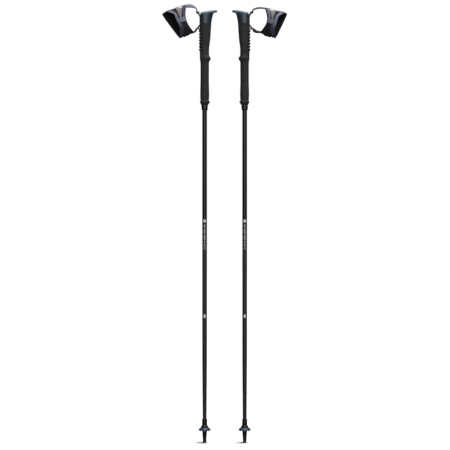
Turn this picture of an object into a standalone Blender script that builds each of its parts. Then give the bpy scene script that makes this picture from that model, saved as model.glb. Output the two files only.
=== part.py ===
"""A pair of fixed-length carbon trekking poles with click-in hand straps.

Everything is modelled once, for the pole on the +X side, in that pole's own frame: +X points
outwards, to the strap at the grip's rear, -X to the beak of the cap, +Z up, with the floor at
z = 0 and the shaft's axis at x = y = 0. The other pole is its mirror image.
"""

import math

import bmesh
import bpy
from mathutils import Matrix, Vector

MM = 0.001

# Overall sizes
POLE_LENGTH = 1200 * MM  # floor to the highest point of the cap
POLE_SPACING = 111 * MM  # between the axes of the two shafts
GAP = 0.3 * MM  # between pieces that touch
ROUND = 20  # sides of a turned piece

# Shaft: a tube, straight for most of its length and tapered towards its foot
SHAFT_RADIUS = 6.6 * MM
SHAFT_FOOT_RADIUS = 5.3 * MM
SHAFT_WALL = 1.2 * MM
SHAFT_TAPER_TOP = 230 * MM
SHAFT_FOOT = 53 * MM
SHAFT_TOP_DROP = 50 * MM  # the tube ends this far under the cap's highest point
PLUG_LENGTH = 16 * MM
PLUG_FLANGE = 2.2 * MM
BORE_CLEARANCE = 0.3 * MM

# Grip: outlines front and rear of the shaft's axis, and half widths, by the drop from the top
GRIP_SECTIONS = [
    # drop, front, rear, half width
    (6 * MM, 26.0 * MM, 13.6 * MM, 14.2 * MM),
    (14 * MM, 23.0 * MM, 14.0 * MM, 13.6 * MM),
    (29 * MM, 20.0 * MM, 14.6 * MM, 13.2 * MM),
    (56 * MM, 17.6 * MM, 14.2 * MM, 13.0 * MM),
    (84 * MM, 15.5 * MM, 14.0 * MM, 13.0 * MM),
    (112 * MM, 12.4 * MM, 13.8 * MM, 12.4 * MM),
    (124 * MM, 12.6 * MM, 13.4 * MM, 12.2 * MM),
    (146 * MM, 12.3 * MM, 11.9 * MM, 12.0 * MM),
    (200 * MM, 12.0 * MM, 11.6 * MM, 11.8 * MM),
    (247 * MM, 12.3 * MM, 11.8 * MM, 12.0 * MM),
    (264 * MM, 10.6 * MM, 10.2 * MM, 10.4 * MM),
]
GRIP_SIDES = 20
HEAD_BORE_DROP = 70 * MM  # lower than any of the head
HEAD_SEAM_DROP = 39 * MM  # head to foam, at the shaft's axis
HEAD_SEAM_SLOPE = 0.20  # the seam rises towards the rear
UPPER_RING_DROP = 137 * MM
UPPER_RING_HEIGHT = 2.6 * MM
UPPER_RING_REACH = 6.5 * MM
LOWER_RING_DROP = 256.5 * MM
LOWER_RING_HEIGHT = 2.6 * MM
LOWER_RING_REACH = 6.0 * MM
FOAM_SEAM_DROP = 145 * MM
FOAM_END_DROP = 264 * MM
THUMB_DROP = 48 * MM  # halfway from the head's seam to the first ridge
EXTENSION_MIDDLE_DROP = 200 * MM
RIDGE_FIRST_DROP = 60 * MM
RIDGE_PITCH = 8.45 * MM
RIDGE_COUNT = 7
RIDGE_HEIGHT = 2.0 * MM

# Collar under the foam
COLLAR_RADIUS = 8.8 * MM
COLLAR_HEIGHT = 14 * MM

# Cap: a tilted flat base, a convex top and a beak over the front
CAP_BASE_DROP = 13.8 * MM  # at the shaft's axis
CAP_SLOPE = 0.20  # the base falls towards the rear
CAP_REAR = 13.6 * MM
CAP_BEAK = 35.0 * MM
CAP_HALF_WIDTH = 14.6 * MM
CAP_THICKNESS = 8.6 * MM
CAP_BEAK_TAPER = 0.45

# Release button, latch plate and spring, in a well in the head
BUTTON_FRONT = 4.4 * MM
BUTTON_REAR = 10.0 * MM
BUTTON_HALF_WIDTH = 4.2 * MM
BUTTON_TOP_DROP = 6.6 * MM
BUTTON_TRAVEL = 2.2 * MM
BUTTON_CLEARANCE = 0.35 * MM
LATCH_FRONT = 4.6 * MM
LATCH_THICKNESS = 2.6 * MM
LATCH_HALF_WIDTH = 5.6 * MM
LATCH_BOTTOM_DROP = 29.4 * MM
LATCH_CLEARANCE = 0.35 * MM
SPRING_LENGTH = 6.4 * MM
SPRING_RADIUS = 1.25 * MM
SPRING_WIRE = 0.25 * MM
SPRING_TURNS = 4

# Strap plug: a rail in the grip's rear with a tongue through the latch's window
RAIL_INNER = 10.6 * MM
RAIL_OUTER = 14.2 * MM
RAIL_HALF_WIDTH = 3.6 * MM
RAIL_TOP_DROP = 18 * MM
RAIL_BOTTOM_DROP = 54 * MM
RAIL_CLEARANCE = 0.4 * MM
TONGUE_REACH = 2.4 * MM  # the tongue ends at this distance from the shaft's axis
TONGUE_HALF_WIDTH = 2.8 * MM
TONGUE_TOP_DROP = 22 * MM
TONGUE_HEIGHT = 4.4 * MM
EYE_AXIS = 18.4 * MM  # the strap swings about this upright line
EYE_BAR_RADIUS = 1.3 * MM
EYE_CLEARANCE = 0.35 * MM
EYE_WALL = 1.1 * MM
EYE_HEIGHT = 4.4 * MM
EYE_LUG = 1.5 * MM
EYE_LUG_HALF_WIDTH = 0.9 * MM
EYE_LUG_ROOT = 14.0 * MM
UPPER_EYE_DROP = 5 * MM  # top of the upper eye bar's lugs
LOWER_EYE_DROP = 46.5 * MM
MAST_INNER = 13.9 * MM  # the rail's mast stands behind the cap
MAST_OUTER = 15.3 * MM
MAST_HALF_WIDTH = 2.0 * MM
MAST_SPACE = 4 * MM  # height of the notch over the rail

# Strap bands, by their middle lines: distance outwards and drop from the top
BAND_THICKNESS = 3.0 * MM
BAND_NECK_HALF_WIDTH = 2.4 * MM
BAND_HALF_WIDTH = 11 * MM
BAND_NECK_SHARE = 0.6  # of the path, over which the band widens
WEB_INSET = 0.4 * MM
WEB_WIDTH_SHARE = 0.95  # of the neck
WEB_THICKNESS_SHARE = 0.45  # of the band, either side of its middle
# Middle lines, distance outwards and drop from the top: the left strap stands stiff and
# high, and the right one is drawn further out and hangs lower
UPPER_BAND_PATHS = {
    "left": [
        (21.6, 3.0), (21.9, -0.5), (25.2, -5.4), (31.5, -9.8), (41.0, -12.8), (51.2, -13.2),
    ],
    "right": [(21.6, 3.0), (23.4, -0.2), (29.0, -2.8), (36.0, -4.6), (45.0, -5.4), (57.2, -4.2)],
}
LOWER_BAND_PATHS = {
    "left": [(22.2, 53.0), (23.5, 57.0), (26.6, 60.0), (30.0, 61.8)],
    "right": [(22.2, 53.0), (25.0, 57.2), (32.0, 60.8), (42.8, 62.4)],
}

# Wrist cuff: sections from the thumb opening to the mouth, each given by the place of its
# top edge and bottom edge (distance outwards, drop from the top), its half width, and how
# far its front and its back lie from the line between the two edges
CUFF_SECTIONS = {
    # top out, top drop, bottom out, bottom drop, half width, front shift, back shift
    "left": [
        (52.0, -13.2, 31.0, 63.0, 15.0, 11.0, 11.0),
        (66.0, -10.4, 42.5, 69.5, 20.0, 3.0, 3.0),
        (82.0, -4.8, 52.0, 73.5, 24.0, -3.0, 0.0),
        (99.0, 2.2, 60.0, 75.5, 27.0, -11.0, 0.0),
        (115.5, 11.6, 66.8, 77.2, 28.0, -20.0, 0.0),
    ],
    "right": [
        (58.0, -4.0, 44.0, 63.5, 18.0, 12.0, 12.0),
        (72.5, -2.5, 54.0, 71.0, 22.5, 5.0, 5.0),
        (87.0, 2.0, 64.0, 74.0, 25.5, -1.0, 0.0),
        (101.5, 5.3, 74.5, 76.0, 27.5, -8.5, 0.0),
        (115.5, 11.0, 83.7, 77.2, 28.0, -15.0, 0.0),
    ],
}
CUFF_SIDES = 24
CUFF_WALL = 1.8 * MM
BINDING_WIDTH = 2.6 * MM
BINDING_THICKNESS = 3.0 * MM
TAB_THICKNESS = 1.3 * MM
TAB_TOP_ANGLE = 36  # degrees round the cuff from its top edge
TAB_END_ANGLE = 82
TAB_INNER = (0.16, 0.22)  # share of the cuff's length at the root, and its gain to the end
TAB_OUTER = (0.50, 0.02)

# Foot: ferrule, basket, collar, stud and tip, by their heights over the floor
FERRULE_TOP = 66 * MM
FERRULE_RADIUS = 7.1 * MM
FERRULE_CONE_TOP = 49 * MM
FERRULE_CONE_BOTTOM = 43 * MM
FERRULE_CONE_RADIUS = 10.8 * MM
FERRULE_NECK_RADIUS = 4.9 * MM
FERRULE_BOTTOM = 28.2 * MM
SHAFT_SOCKET_FLOOR = 52.5 * MM
STUD_SOCKET_TOP = 47 * MM
STUD_RADIUS = 2.3 * MM
STUD_BOTTOM = 10 * MM
BASKET_RADIUS = 17 * MM
BASKET_HUB_RADIUS = 7.4 * MM
BASKET_HUB_BOTTOM = 34 * MM
BASKET_PETALS = 8
BASKET_SCALLOP = 1.3 * MM
BASKET_SIDES = 40
BASKET_DROOP = 8 * MM
BASKET_THICKNESS = 1.8 * MM
TIP_COLLAR_RADIUS = 6.9 * MM
TIP_COLLAR_TOP = 33.6 * MM
TIP_TOP = 27.6 * MM
TIP_TOP_RADIUS = 6.1 * MM
TIP_FOOT_RADIUS = 4.7 * MM
TIP_FOOT_FLAT = 3.6 * MM

# Colour, roughness and metallic value of each finish
FINISHES = {
    "carbon": ((0.012, 0.013, 0.014), 0.30, 0.0),
    "gloss_black": ((0.010, 0.012, 0.014), 0.18, 0.0),
    "foam": ((0.036, 0.037, 0.039), 0.85, 0.0),
    "cap_blue": ((0.152, 0.230, 0.296), 0.42, 0.0),
    "button_navy": ((0.018, 0.036, 0.058), 0.35, 0.0),
    "steel": ((0.55, 0.56, 0.57), 0.30, 1.0),
    "moulded_black": ((0.012, 0.012, 0.013), 0.50, 0.0),
    "band_lavender": ((0.155, 0.160, 0.260), 0.80, 0.0),
    "band_black": ((0.010, 0.010, 0.014), 0.85, 0.0),
    "tab_taupe": ((0.270, 0.245, 0.250), 0.80, 0.0),
    "basket_blue": ((0.045, 0.075, 0.105), 0.45, 0.0),
    "rubber": ((0.014, 0.014, 0.015), 0.75, 0.0),
}


def from_top(drop):
    """Height over the floor of something that far under the cap's highest point."""
    return POLE_LENGTH - drop


# ---------------------------------------------------------------- scene and helpers


def clear_scene():
    for old in list(bpy.data.objects):
        bpy.data.objects.remove(old, do_unlink=True)


def new_collection(name, hidden=False):
    collection = bpy.data.collections.new(name)
    bpy.context.scene.collection.children.link(collection)
    collection.hide_render = hidden
    return collection


def finish_material(name):
    material = bpy.data.materials.get(name)
    if material is None:
        colour, roughness, metallic = FINISHES[name]
        material = bpy.data.materials.new(name)
        material.use_nodes = True
        shader = material.node_tree.nodes["Principled BSDF"]
        shader.inputs["Base Color"].default_value = (*colour, 1)
        shader.inputs["Roughness"].default_value = roughness
        shader.inputs["Metallic"].default_value = metallic
    return material


def mesh_object(name, bm, collection, origin=(0, 0, 0)):
    """Puts a bmesh, built in the pole's frame, in an object whose origin is at the given place."""
    mesh = bpy.data.meshes.new(name)
    bmesh.ops.translate(bm, verts=bm.verts, vec=-Vector(origin))
    bm.to_mesh(mesh)
    bm.free()
    part = bpy.data.objects.new(name, mesh)
    part.location = origin
    collection.objects.link(part)
    return part


def shade(part, finish):
    part.data.materials.clear()
    part.data.materials.append(finish_material(finish))
    part.data.shade_smooth()
    part.data.set_sharp_from_angle(angle=math.radians(35))
    return part


def box(name, low, high, collection, origin=(0, 0, 0)):
    bm = bmesh.new()
    bmesh.ops.create_cube(bm, size=1)
    low, high = Vector(low), Vector(high)
    size = high - low
    bmesh.ops.scale(bm, verts=bm.verts, vec=size)
    bmesh.ops.translate(bm, verts=bm.verts, vec=(low + high) / 2)
    return mesh_object(name, bm, collection, origin)


def upright_cylinder(name, radius, bottom, top, at, collection, sides=ROUND, origin=(0, 0, 0)):
    bm = bmesh.new()
    bmesh.ops.create_cone(
        bm, cap_ends=True, segments=sides, radius1=radius, radius2=radius, depth=top - bottom
    )
    bmesh.ops.translate(bm, verts=bm.verts, vec=(at[0], at[1], (top + bottom) / 2))
    return mesh_object(name, bm, collection, origin)


def turned(name, profile, collection, sides=ROUND, closed=False, origin=(0, 0, 0)):
    """A profile of (radius, height) turned about the upright axis through the origin."""
    bm = bmesh.new()
    points = [bm.verts.new((radius, 0, height)) for radius, height in profile]
    for a, b in zip(points, points[1:]):
        bm.edges.new((a, b))
    if closed:
        bm.edges.new((points[-1], points[0]))
    part = mesh_object(name, bm, collection, origin)
    screw = part.modifiers.new("turn", "SCREW")
    screw.axis = "Z"
    screw.steps = sides
    screw.render_steps = sides
    screw.use_merge_vertices = True
    screw.merge_threshold = 0.00001
    screw.use_smooth_shade = True
    return part


def loft(name, rings, collection, closed=False, origin=(0, 0, 0)):
    """Skins a stack of rings. closed joins the last ring to the first, as round a bore."""
    bm = bmesh.new()
    loops = [[bm.verts.new(point) for point in ring] for ring in rings]
    pairs = list(zip(loops, loops[1:]))
    if closed:
        pairs.append((loops[-1], loops[0]))
    else:
        bm.faces.new(loops[0])
        bm.faces.new(loops[-1])
    for a, b in pairs:
        for i in range(len(a)):
            j = (i + 1) % len(a)
            bm.faces.new((a[i], a[j], b[j], b[i]))
    bmesh.ops.recalc_face_normals(bm, faces=bm.faces)
    return mesh_object(name, bm, collection, origin)


def combine(part, other, operation):
    """Adds a Boolean modifier; the other object is a cutter or a piece that is joined."""
    boolean = part.modifiers.new(operation.lower(), "BOOLEAN")
    boolean.operation = operation
    boolean.solver = "EXACT"
    boolean.object = other
    other.hide_render = True
    other.display_type = "WIRE"


def blend_between(table, drop):
    """The table's row at a drop, by straight lines between its rows."""
    if drop <= table[0][0]:
        return table[0][1:]
    for above, below in zip(table, table[1:]):
        if drop <= below[0]:
            t = (drop - above[0]) / (below[0] - above[0])
            return [a + t * (b - a) for a, b in zip(above[1:], below[1:])]
    return table[-1][1:]


def smooth_path(points, steps):
    """Catmull-Rom curve through points, with that many steps between two of them."""
    ends = [points[0], *points, points[-1]]
    path = []
    for a, b, c, d in zip(ends, ends[1:], ends[2:], ends[3:]):
        for i in range(steps):
            t = i / steps
            path.append(
                0.5 * (2 * b + (c - a) * t + (2 * a - 5 * b + 4 * c - d) * t**2
                       + (3 * b - 3 * c + d - a) * t**3)
            )
    path.append(points[-1])
    return path


# ---------------------------------------------------------------- shaft


def shaft_radius(z):
    t = min(1, max(0, (z - SHAFT_FOOT) / (SHAFT_TAPER_TOP - SHAFT_FOOT)))
    return SHAFT_FOOT_RADIUS + t * (SHAFT_RADIUS - SHAFT_FOOT_RADIUS)


def build_shaft(parts):
    top = from_top(SHAFT_TOP_DROP)
    heights = [top, SHAFT_TAPER_TOP, SHAFT_FOOT]
    outside = [(shaft_radius(z), z) for z in heights]
    inside = [(shaft_radius(z) - SHAFT_WALL, z) for z in reversed(heights)]
    shade(turned("shaft", outside + inside, parts, closed=True), "carbon")

    inner = SHAFT_RADIUS - SHAFT_WALL - BORE_CLEARANCE
    profile = [
        (0, top + GAP + PLUG_FLANGE),
        (SHAFT_RADIUS, top + GAP + PLUG_FLANGE),
        (SHAFT_RADIUS, top + GAP),
        (inner, top + GAP),
        (inner, top - PLUG_LENGTH),
        (0, top - PLUG_LENGTH),
    ]
    shade(turned("shaft_plug", profile, parts), "moulded_black")


# ---------------------------------------------------------------- grip


def bump(distance, reach):
    """1 at no distance, falling smoothly to 0 at reach."""
    return 0.5 + 0.5 * math.cos(math.pi * min(1, abs(distance) / reach))


def grip_ring(height_at, drop):
    """Points round the grip at a drop; height_at(x) gives each point its height."""
    front, rear, half_width = blend_between(GRIP_SECTIONS, drop)
    upper = UPPER_RING_HEIGHT * bump(drop - UPPER_RING_DROP, UPPER_RING_REACH)
    lower = LOWER_RING_HEIGHT * bump(drop - LOWER_RING_DROP, LOWER_RING_REACH)
    phase = (drop - RIDGE_FIRST_DROP) / RIDGE_PITCH
    on_ridges = -0.5 <= phase <= RIDGE_COUNT - 0.5
    ridge = RIDGE_HEIGHT * (0.5 + 0.5 * math.cos(2 * math.pi * phase)) if on_ridges else 0
    ring = []
    for i in range(GRIP_SIDES):
        angle = 2 * math.pi * i / GRIP_SIDES
        c, s = math.cos(angle), math.sin(angle)
        x = c * (rear if c > 0 else front)
        y = s * half_width
        swell = upper * (0.8 - 0.6 * c) + lower * (1 - 0.25 * c)
        swell += ridge * max(0, c) ** 3
        ring.append((x + swell * c, y + swell * s, height_at(x)))
    return ring


def level(z):
    return lambda x: z


def head_seam(x):
    return from_top(HEAD_SEAM_DROP) + HEAD_SEAM_SLOPE * x


def cap_plane(x):
    return from_top(CAP_BASE_DROP) - CAP_SLOPE * x


def head_top(x):
    return cap_plane(x) - GAP


def between(low_at, high_at, t):
    return lambda x: low_at(x) + t * (high_at(x) - low_at(x))


def bore_ring(height_at, radius):
    ring = []
    for i in range(GRIP_SIDES):
        angle = 2 * math.pi * i / GRIP_SIDES
        x, y = radius * math.cos(angle), radius * math.sin(angle)
        ring.append((x, y, height_at(x)))
    return ring


def sleeve(name, rings, low_at, high_at, parts):
    """A foam sleeve on the shaft: its outside rings, bottom to top, and a plain bore."""
    bore = SHAFT_RADIUS + BORE_CLEARANCE
    inside = [bore_ring(high_at, bore), bore_ring(low_at, bore)]
    return loft(name, rings + inside, parts, closed=True)


def build_head(parts, cutters):
    steps = 5
    low_drop, high_drop = HEAD_SEAM_DROP, CAP_BASE_DROP
    rings = []
    for i in range(steps + 1):
        t = i / steps
        height_at = between(head_seam, head_top, t)
        rings.append(grip_ring(height_at, low_drop + t * (high_drop - low_drop)))
    head = loft("grip_head", rings, parts)

    bore_top = from_top(SHAFT_TOP_DROP) + 3 * GAP + PLUG_FLANGE
    bore = upright_cylinder(
        "head_bore", SHAFT_RADIUS + BORE_CLEARANCE, from_top(HEAD_BORE_DROP), bore_top, (0, 0), cutters
    )
    combine(head, bore, "DIFFERENCE")
    combine(head, latch_well(cutters), "DIFFERENCE")
    combine(head, button_well("head_button_well", cutters), "DIFFERENCE")
    slot = box(
        "tongue_slot",
        (TONGUE_REACH - RAIL_CLEARANCE, -TONGUE_HALF_WIDTH - RAIL_CLEARANCE,
         from_top(TONGUE_TOP_DROP) - TONGUE_HEIGHT - RAIL_CLEARANCE),
        (RAIL_OUTER, TONGUE_HALF_WIDTH + RAIL_CLEARANCE, from_top(TONGUE_TOP_DROP) + RAIL_CLEARANCE),
        cutters,
    )
    combine(head, slot, "DIFFERENCE")
    combine(head, rail_groove("head_rail_groove", cutters), "DIFFERENCE")
    shade(head, "gloss_black")


def latch_top():
    """The latch plate ends just under the cap, and the button stands on it."""
    return cap_plane(LATCH_FRONT + LATCH_THICKNESS) - 2 * GAP


def latch_well(cutters):
    spring_bottom = from_top(LATCH_BOTTOM_DROP) - SPRING_LENGTH - 2 * GAP
    return box(
        "latch_well",
        (LATCH_FRONT - LATCH_CLEARANCE, -LATCH_HALF_WIDTH - LATCH_CLEARANCE, spring_bottom),
        (LATCH_FRONT + LATCH_THICKNESS + LATCH_CLEARANCE, LATCH_HALF_WIDTH + LATCH_CLEARANCE,
         from_top(0)),
        cutters,
    )


def button_well(name, cutters):
    """The space that the button slides in, through the cap and into the head."""
    return box(
        name,
        (BUTTON_FRONT - BUTTON_CLEARANCE, -BUTTON_HALF_WIDTH - BUTTON_CLEARANCE,
         latch_top() - BUTTON_TRAVEL - GAP),
        (BUTTON_REAR + BUTTON_CLEARANCE, BUTTON_HALF_WIDTH + BUTTON_CLEARANCE, from_top(-5 * MM)),
        cutters,
    )


def rail_groove(name, cutters):
    """The groove for the rail, open upwards so that its mast can pass behind the cap."""
    return box(
        name,
        (RAIL_INNER - RAIL_CLEARANCE, -RAIL_HALF_WIDTH - RAIL_CLEARANCE,
         from_top(RAIL_BOTTOM_DROP) - RAIL_CLEARANCE),
        (RAIL_OUTER + 5 * MM, RAIL_HALF_WIDTH + RAIL_CLEARANCE,
         from_top(RAIL_TOP_DROP) + MAST_SPACE),
        cutters,
    )


def build_foam(parts, cutters):
    def top(x):
        """The gap's depth under the head's seam."""
        return head_seam(x) - GAP

    seam = level(from_top(FOAM_SEAM_DROP) + GAP)
    stack = [(seam, FOAM_SEAM_DROP)]
    ring_drops = [UPPER_RING_DROP + k * UPPER_RING_REACH / 3 for k in (2, 1, 0, -1, -2, -3)]
    last_ridge = RIDGE_FIRST_DROP + (RIDGE_COUNT - 0.5) * RIDGE_PITCH
    ridge_drops = [last_ridge - k * RIDGE_PITCH / 2 for k in range(2 * RIDGE_COUNT + 1)]
    for drop in ring_drops + ridge_drops:
        stack.append((level(from_top(drop)), drop))
    stack.append((between(top, level(from_top(RIDGE_FIRST_DROP)), 0.5), THUMB_DROP))
    stack.append((top, HEAD_SEAM_DROP))
    rings = [grip_ring(height_at, drop) for height_at, drop in stack]
    foam = sleeve("grip_foam", rings, seam, top, parts)
    combine(foam, rail_groove("foam_rail_groove", cutters), "DIFFERENCE")
    shade(foam, "foam")

    drops = [FOAM_END_DROP]
    drops += [LOWER_RING_DROP + k * LOWER_RING_REACH / 3 for k in (2, 1, 0, -1, -2, -3)]
    drops += [EXTENSION_MIDDLE_DROP, FOAM_SEAM_DROP]
    rings = [grip_ring(level(from_top(drop)), drop) for drop in drops]
    ends = level(from_top(FOAM_END_DROP)), level(from_top(FOAM_SEAM_DROP))
    shade(sleeve("extension_foam", rings, *ends, parts), "foam")


def build_collar(parts):
    top = from_top(FOAM_END_DROP) - GAP
    bore = SHAFT_RADIUS + BORE_CLEARANCE
    chamfer = 1.2 * MM
    profile = [
        (bore, top),
        (COLLAR_RADIUS, top),
        (COLLAR_RADIUS, top - COLLAR_HEIGHT + chamfer),
        (COLLAR_RADIUS - chamfer, top - COLLAR_HEIGHT),
        (bore, top - COLLAR_HEIGHT),
    ]
    shade(turned("foam_collar", profile, parts, closed=True), "gloss_black")


# ---------------------------------------------------------------- cap, button, latch, spring


def cap_ring(share, height):
    """A ring of the cap: a share of its outline, at a height over its tilted base."""
    ring = []
    for i in range(24):
        angle = 2 * math.pi * i / 24
        c, s = math.cos(angle), math.sin(angle)
        front = max(0, -c)
        x = c * (CAP_REAR if c > 0 else CAP_BEAK)
        y = s * CAP_HALF_WIDTH * (1 - CAP_BEAK_TAPER * front**1.5)
        middle = (CAP_REAR - CAP_BEAK) / 2
        x = middle + share * (x - middle)
        ring.append((x, share * y, cap_plane(x) + height))
    return ring


def build_cap(parts, cutters):
    layers = [(0.95, 0), (1, 0.25), (0.985, 0.5), (0.90, 0.75), (0.72, 0.92), (0.40, 1)]
    rings = [cap_ring(share, CAP_THICKNESS * height) for share, height in layers]
    cap = loft("grip_cap", rings, parts)
    combine(cap, button_well("cap_button_well", cutters), "DIFFERENCE")
    shade(cap, "cap_blue")


def build_button(parts, cutters):
    button_top = from_top(BUTTON_TOP_DROP)
    latch_middle = LATCH_FRONT + LATCH_THICKNESS / 2
    origin = (latch_middle, 0, button_top)
    button = box(
        "release_button",
        (BUTTON_FRONT, -BUTTON_HALF_WIDTH, latch_top() + GAP),
        (BUTTON_REAR, BUTTON_HALF_WIDTH, button_top),
        parts,
        origin,
    )
    edges = button.modifiers.new("edges", "BEVEL")
    edges.width = 0.9 * MM
    edges.segments = 2
    shade(button, "button_navy")

    latch = box(
        "latch_plate",
        (LATCH_FRONT, -LATCH_HALF_WIDTH, from_top(LATCH_BOTTOM_DROP)),
        (LATCH_FRONT + LATCH_THICKNESS, LATCH_HALF_WIDTH, latch_top()),
        parts,
        origin,
    )
    window = box(
        "latch_window",
        (LATCH_FRONT - MM, -TONGUE_HALF_WIDTH - RAIL_CLEARANCE,
         from_top(TONGUE_TOP_DROP) - TONGUE_HEIGHT - LATCH_CLEARANCE),
        (LATCH_FRONT + LATCH_THICKNESS + MM, TONGUE_HALF_WIDTH + RAIL_CLEARANCE,
         from_top(TONGUE_TOP_DROP) + BUTTON_TRAVEL + LATCH_CLEARANCE),
        cutters,
    )
    combine(latch, window, "DIFFERENCE")
    shade(latch, "steel")
    build_spring(parts, latch_middle)


def build_spring(parts, x):
    """A coil of round wire under the latch plate."""
    steps = 9
    top = from_top(LATCH_BOTTOM_DROP) - GAP - SPRING_WIRE
    rise = (SPRING_LENGTH - 2 * SPRING_WIRE) / (SPRING_TURNS * steps)
    curve = bpy.data.curves.new("button_spring", "CURVE")
    curve.dimensions = "3D"
    curve.bevel_depth = SPRING_WIRE
    curve.bevel_resolution = 1
    curve.use_fill_caps = True
    spline = curve.splines.new("POLY")
    spline.points.add(SPRING_TURNS * steps)
    for i, point in enumerate(spline.points):
        angle = 2 * math.pi * i / steps
        point.co = (
            SPRING_RADIUS * math.cos(angle), SPRING_RADIUS * math.sin(angle), -rise * i, 1
        )
    coil = bpy.data.objects.new("coil", curve)
    parts.objects.link(coil)
    coil.location = (x, 0, top)
    bpy.context.view_layer.update()
    graph = bpy.context.evaluated_depsgraph_get()
    mesh = bpy.data.meshes.new_from_object(coil.evaluated_get(graph))
    bm = bmesh.new()
    bm.from_mesh(mesh)
    bmesh.ops.remove_doubles(bm, verts=bm.verts, dist=0.00001)
    bmesh.ops.recalc_face_normals(bm, faces=bm.faces)
    bm.to_mesh(mesh)
    bm.free()
    spring = bpy.data.objects.new("button_spring", mesh)
    spring.location = coil.location
    parts.objects.link(spring)
    bpy.data.objects.remove(coil, do_unlink=True)
    shade(spring, "steel")


# ---------------------------------------------------------------- strap


def eye_heights(top_drop):
    """Bottom and top of the free stretch of an eye bar, between its two lugs."""
    top = from_top(top_drop) - EYE_LUG
    return top - EYE_HEIGHT, top


def build_strap_plug(parts, cutters):
    origin = (EYE_AXIS, 0, from_top(TONGUE_TOP_DROP) - TONGUE_HEIGHT / 2)
    plug = box(
        "strap_plug",
        (RAIL_INNER, -RAIL_HALF_WIDTH, from_top(RAIL_BOTTOM_DROP)),
        (RAIL_OUTER, RAIL_HALF_WIDTH, from_top(RAIL_TOP_DROP)),
        parts,
        origin,
    )
    tongue = box(
        "tongue",
        (TONGUE_REACH, -TONGUE_HALF_WIDTH, from_top(TONGUE_TOP_DROP) - TONGUE_HEIGHT),
        (RAIL_INNER + MM, TONGUE_HALF_WIDTH, from_top(TONGUE_TOP_DROP)),
        cutters,
    )
    combine(plug, tongue, "UNION")
    mast = box(
        "mast",
        (MAST_INNER, -MAST_HALF_WIDTH, from_top(RAIL_TOP_DROP) - MM),
        (MAST_OUTER, MAST_HALF_WIDTH, from_top(UPPER_EYE_DROP)),
        cutters,
    )
    combine(plug, mast, "UNION")
    for number, top_drop in enumerate((UPPER_EYE_DROP, LOWER_EYE_DROP)):
        low, high = eye_heights(top_drop)
        for end, bottom in enumerate((low - EYE_LUG, high)):
            lug = box(
                f"lug_{number}_{end}",
                (EYE_LUG_ROOT, -EYE_LUG_HALF_WIDTH, bottom),
                (EYE_AXIS + EYE_BAR_RADIUS, EYE_LUG_HALF_WIDTH, bottom + EYE_LUG),
                cutters,
            )
            combine(plug, lug, "UNION")
        bar = upright_cylinder(
            f"bar_{number}", EYE_BAR_RADIUS, low - EYE_LUG / 2, high + EYE_LUG / 2,
            (EYE_AXIS, 0), cutters, sides=12,
        )
        combine(plug, bar, "UNION")
    shade(plug, "moulded_black")


def band_rings(path, neck_share):
    """Flat band along a path in the XZ plane, widening from its neck to its full width."""
    points = [Vector((out * MM, 0, from_top(drop * MM))) for out, drop in path]
    line = smooth_path(points, 3)
    rings = []
    for i, point in enumerate(line):
        before, after = line[max(0, i - 1)], line[min(len(line) - 1, i + 1)]
        along = (after - before).normalized()
        across = Vector((-along.z, 0, along.x))
        t = min(1, i / (neck_share * (len(line) - 1)))
        half = BAND_NECK_HALF_WIDTH + (BAND_HALF_WIDTH - BAND_NECK_HALF_WIDTH) * t * t * (3 - 2 * t)
        side = Vector((0, half, 0))
        thick = across * BAND_THICKNESS / 2
        rings.append([point + side + thick, point + side - thick,
                      point - side - thick, point - side + thick])
    return rings


def build_band(name, path, top_drop, finish, parts, cutters):
    """A band whose neck ends in an eye round one of the plug's bars."""
    low, high = eye_heights(top_drop)
    origin = (EYE_AXIS, 0, (low + high) / 2)
    out, drop = path[0]
    band = loft(name, band_rings(path, BAND_NECK_SHARE), parts, origin=origin)
    outer = EYE_BAR_RADIUS + EYE_CLEARANCE + EYE_WALL
    eye = upright_cylinder(
        f"{name}_eye", outer, low + GAP, high - GAP, (EYE_AXIS, 0), cutters, sides=16
    )
    hole = upright_cylinder(
        f"{name}_hole", EYE_BAR_RADIUS + EYE_CLEARANCE, low - MM, high + MM, (EYE_AXIS, 0),
        cutters, sides=16,
    )
    middle = (low + high) / 2
    start = from_top(drop * MM)
    web = box(
        f"{name}_web",
        (EYE_AXIS + EYE_BAR_RADIUS + EYE_CLEARANCE + WEB_INSET,
         -BAND_NECK_HALF_WIDTH * WEB_WIDTH_SHARE,
         min(start, middle - EYE_HEIGHT / 2 + GAP)),
        (out * MM + BAND_THICKNESS * WEB_THICKNESS_SHARE, BAND_NECK_HALF_WIDTH * WEB_WIDTH_SHARE,
         max(start, middle + EYE_HEIGHT / 2 - GAP)),
        cutters,
    )
    combine(band, web, "UNION")
    combine(band, eye, "UNION")
    combine(band, hole, "DIFFERENCE")
    shade(band, finish)


def cuff_section(side, s):
    """The cuff's section at a share s of its length, by straight lines between its rows."""
    rows = CUFF_SECTIONS[side]
    place = s * (len(rows) - 1)
    i = min(int(place), len(rows) - 2)
    t = place - i
    row = [a + t * (b - a) for a, b in zip(rows[i], rows[i + 1])]
    top = Vector((row[0] * MM, 0, from_top(row[1] * MM)))
    bottom = Vector((row[2] * MM, 0, from_top(row[3] * MM)))
    return top, bottom, row[4] * MM, row[5] * MM, row[6] * MM


def cuff_point(side, s, angle, out=0.0):
    """A point of the cuff: angle 0 is its top edge, 90 degrees its front (-Y) side."""
    top, bottom, half_width, front_shift, back_shift = cuff_section(side, s)
    middle = (top + bottom) / 2
    reach = (top - bottom).length / 2
    up = (top - bottom).normalized()
    outward = Vector((up.z, 0, -up.x))
    c, sn = math.cos(angle), math.sin(angle)
    shift = front_shift if sn > 0 else back_shift
    return (
        middle
        + up * (reach + out) * c
        + outward * shift * sn**2
        + Vector((0, -(half_width + out) * sn, 0))
    )


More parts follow.
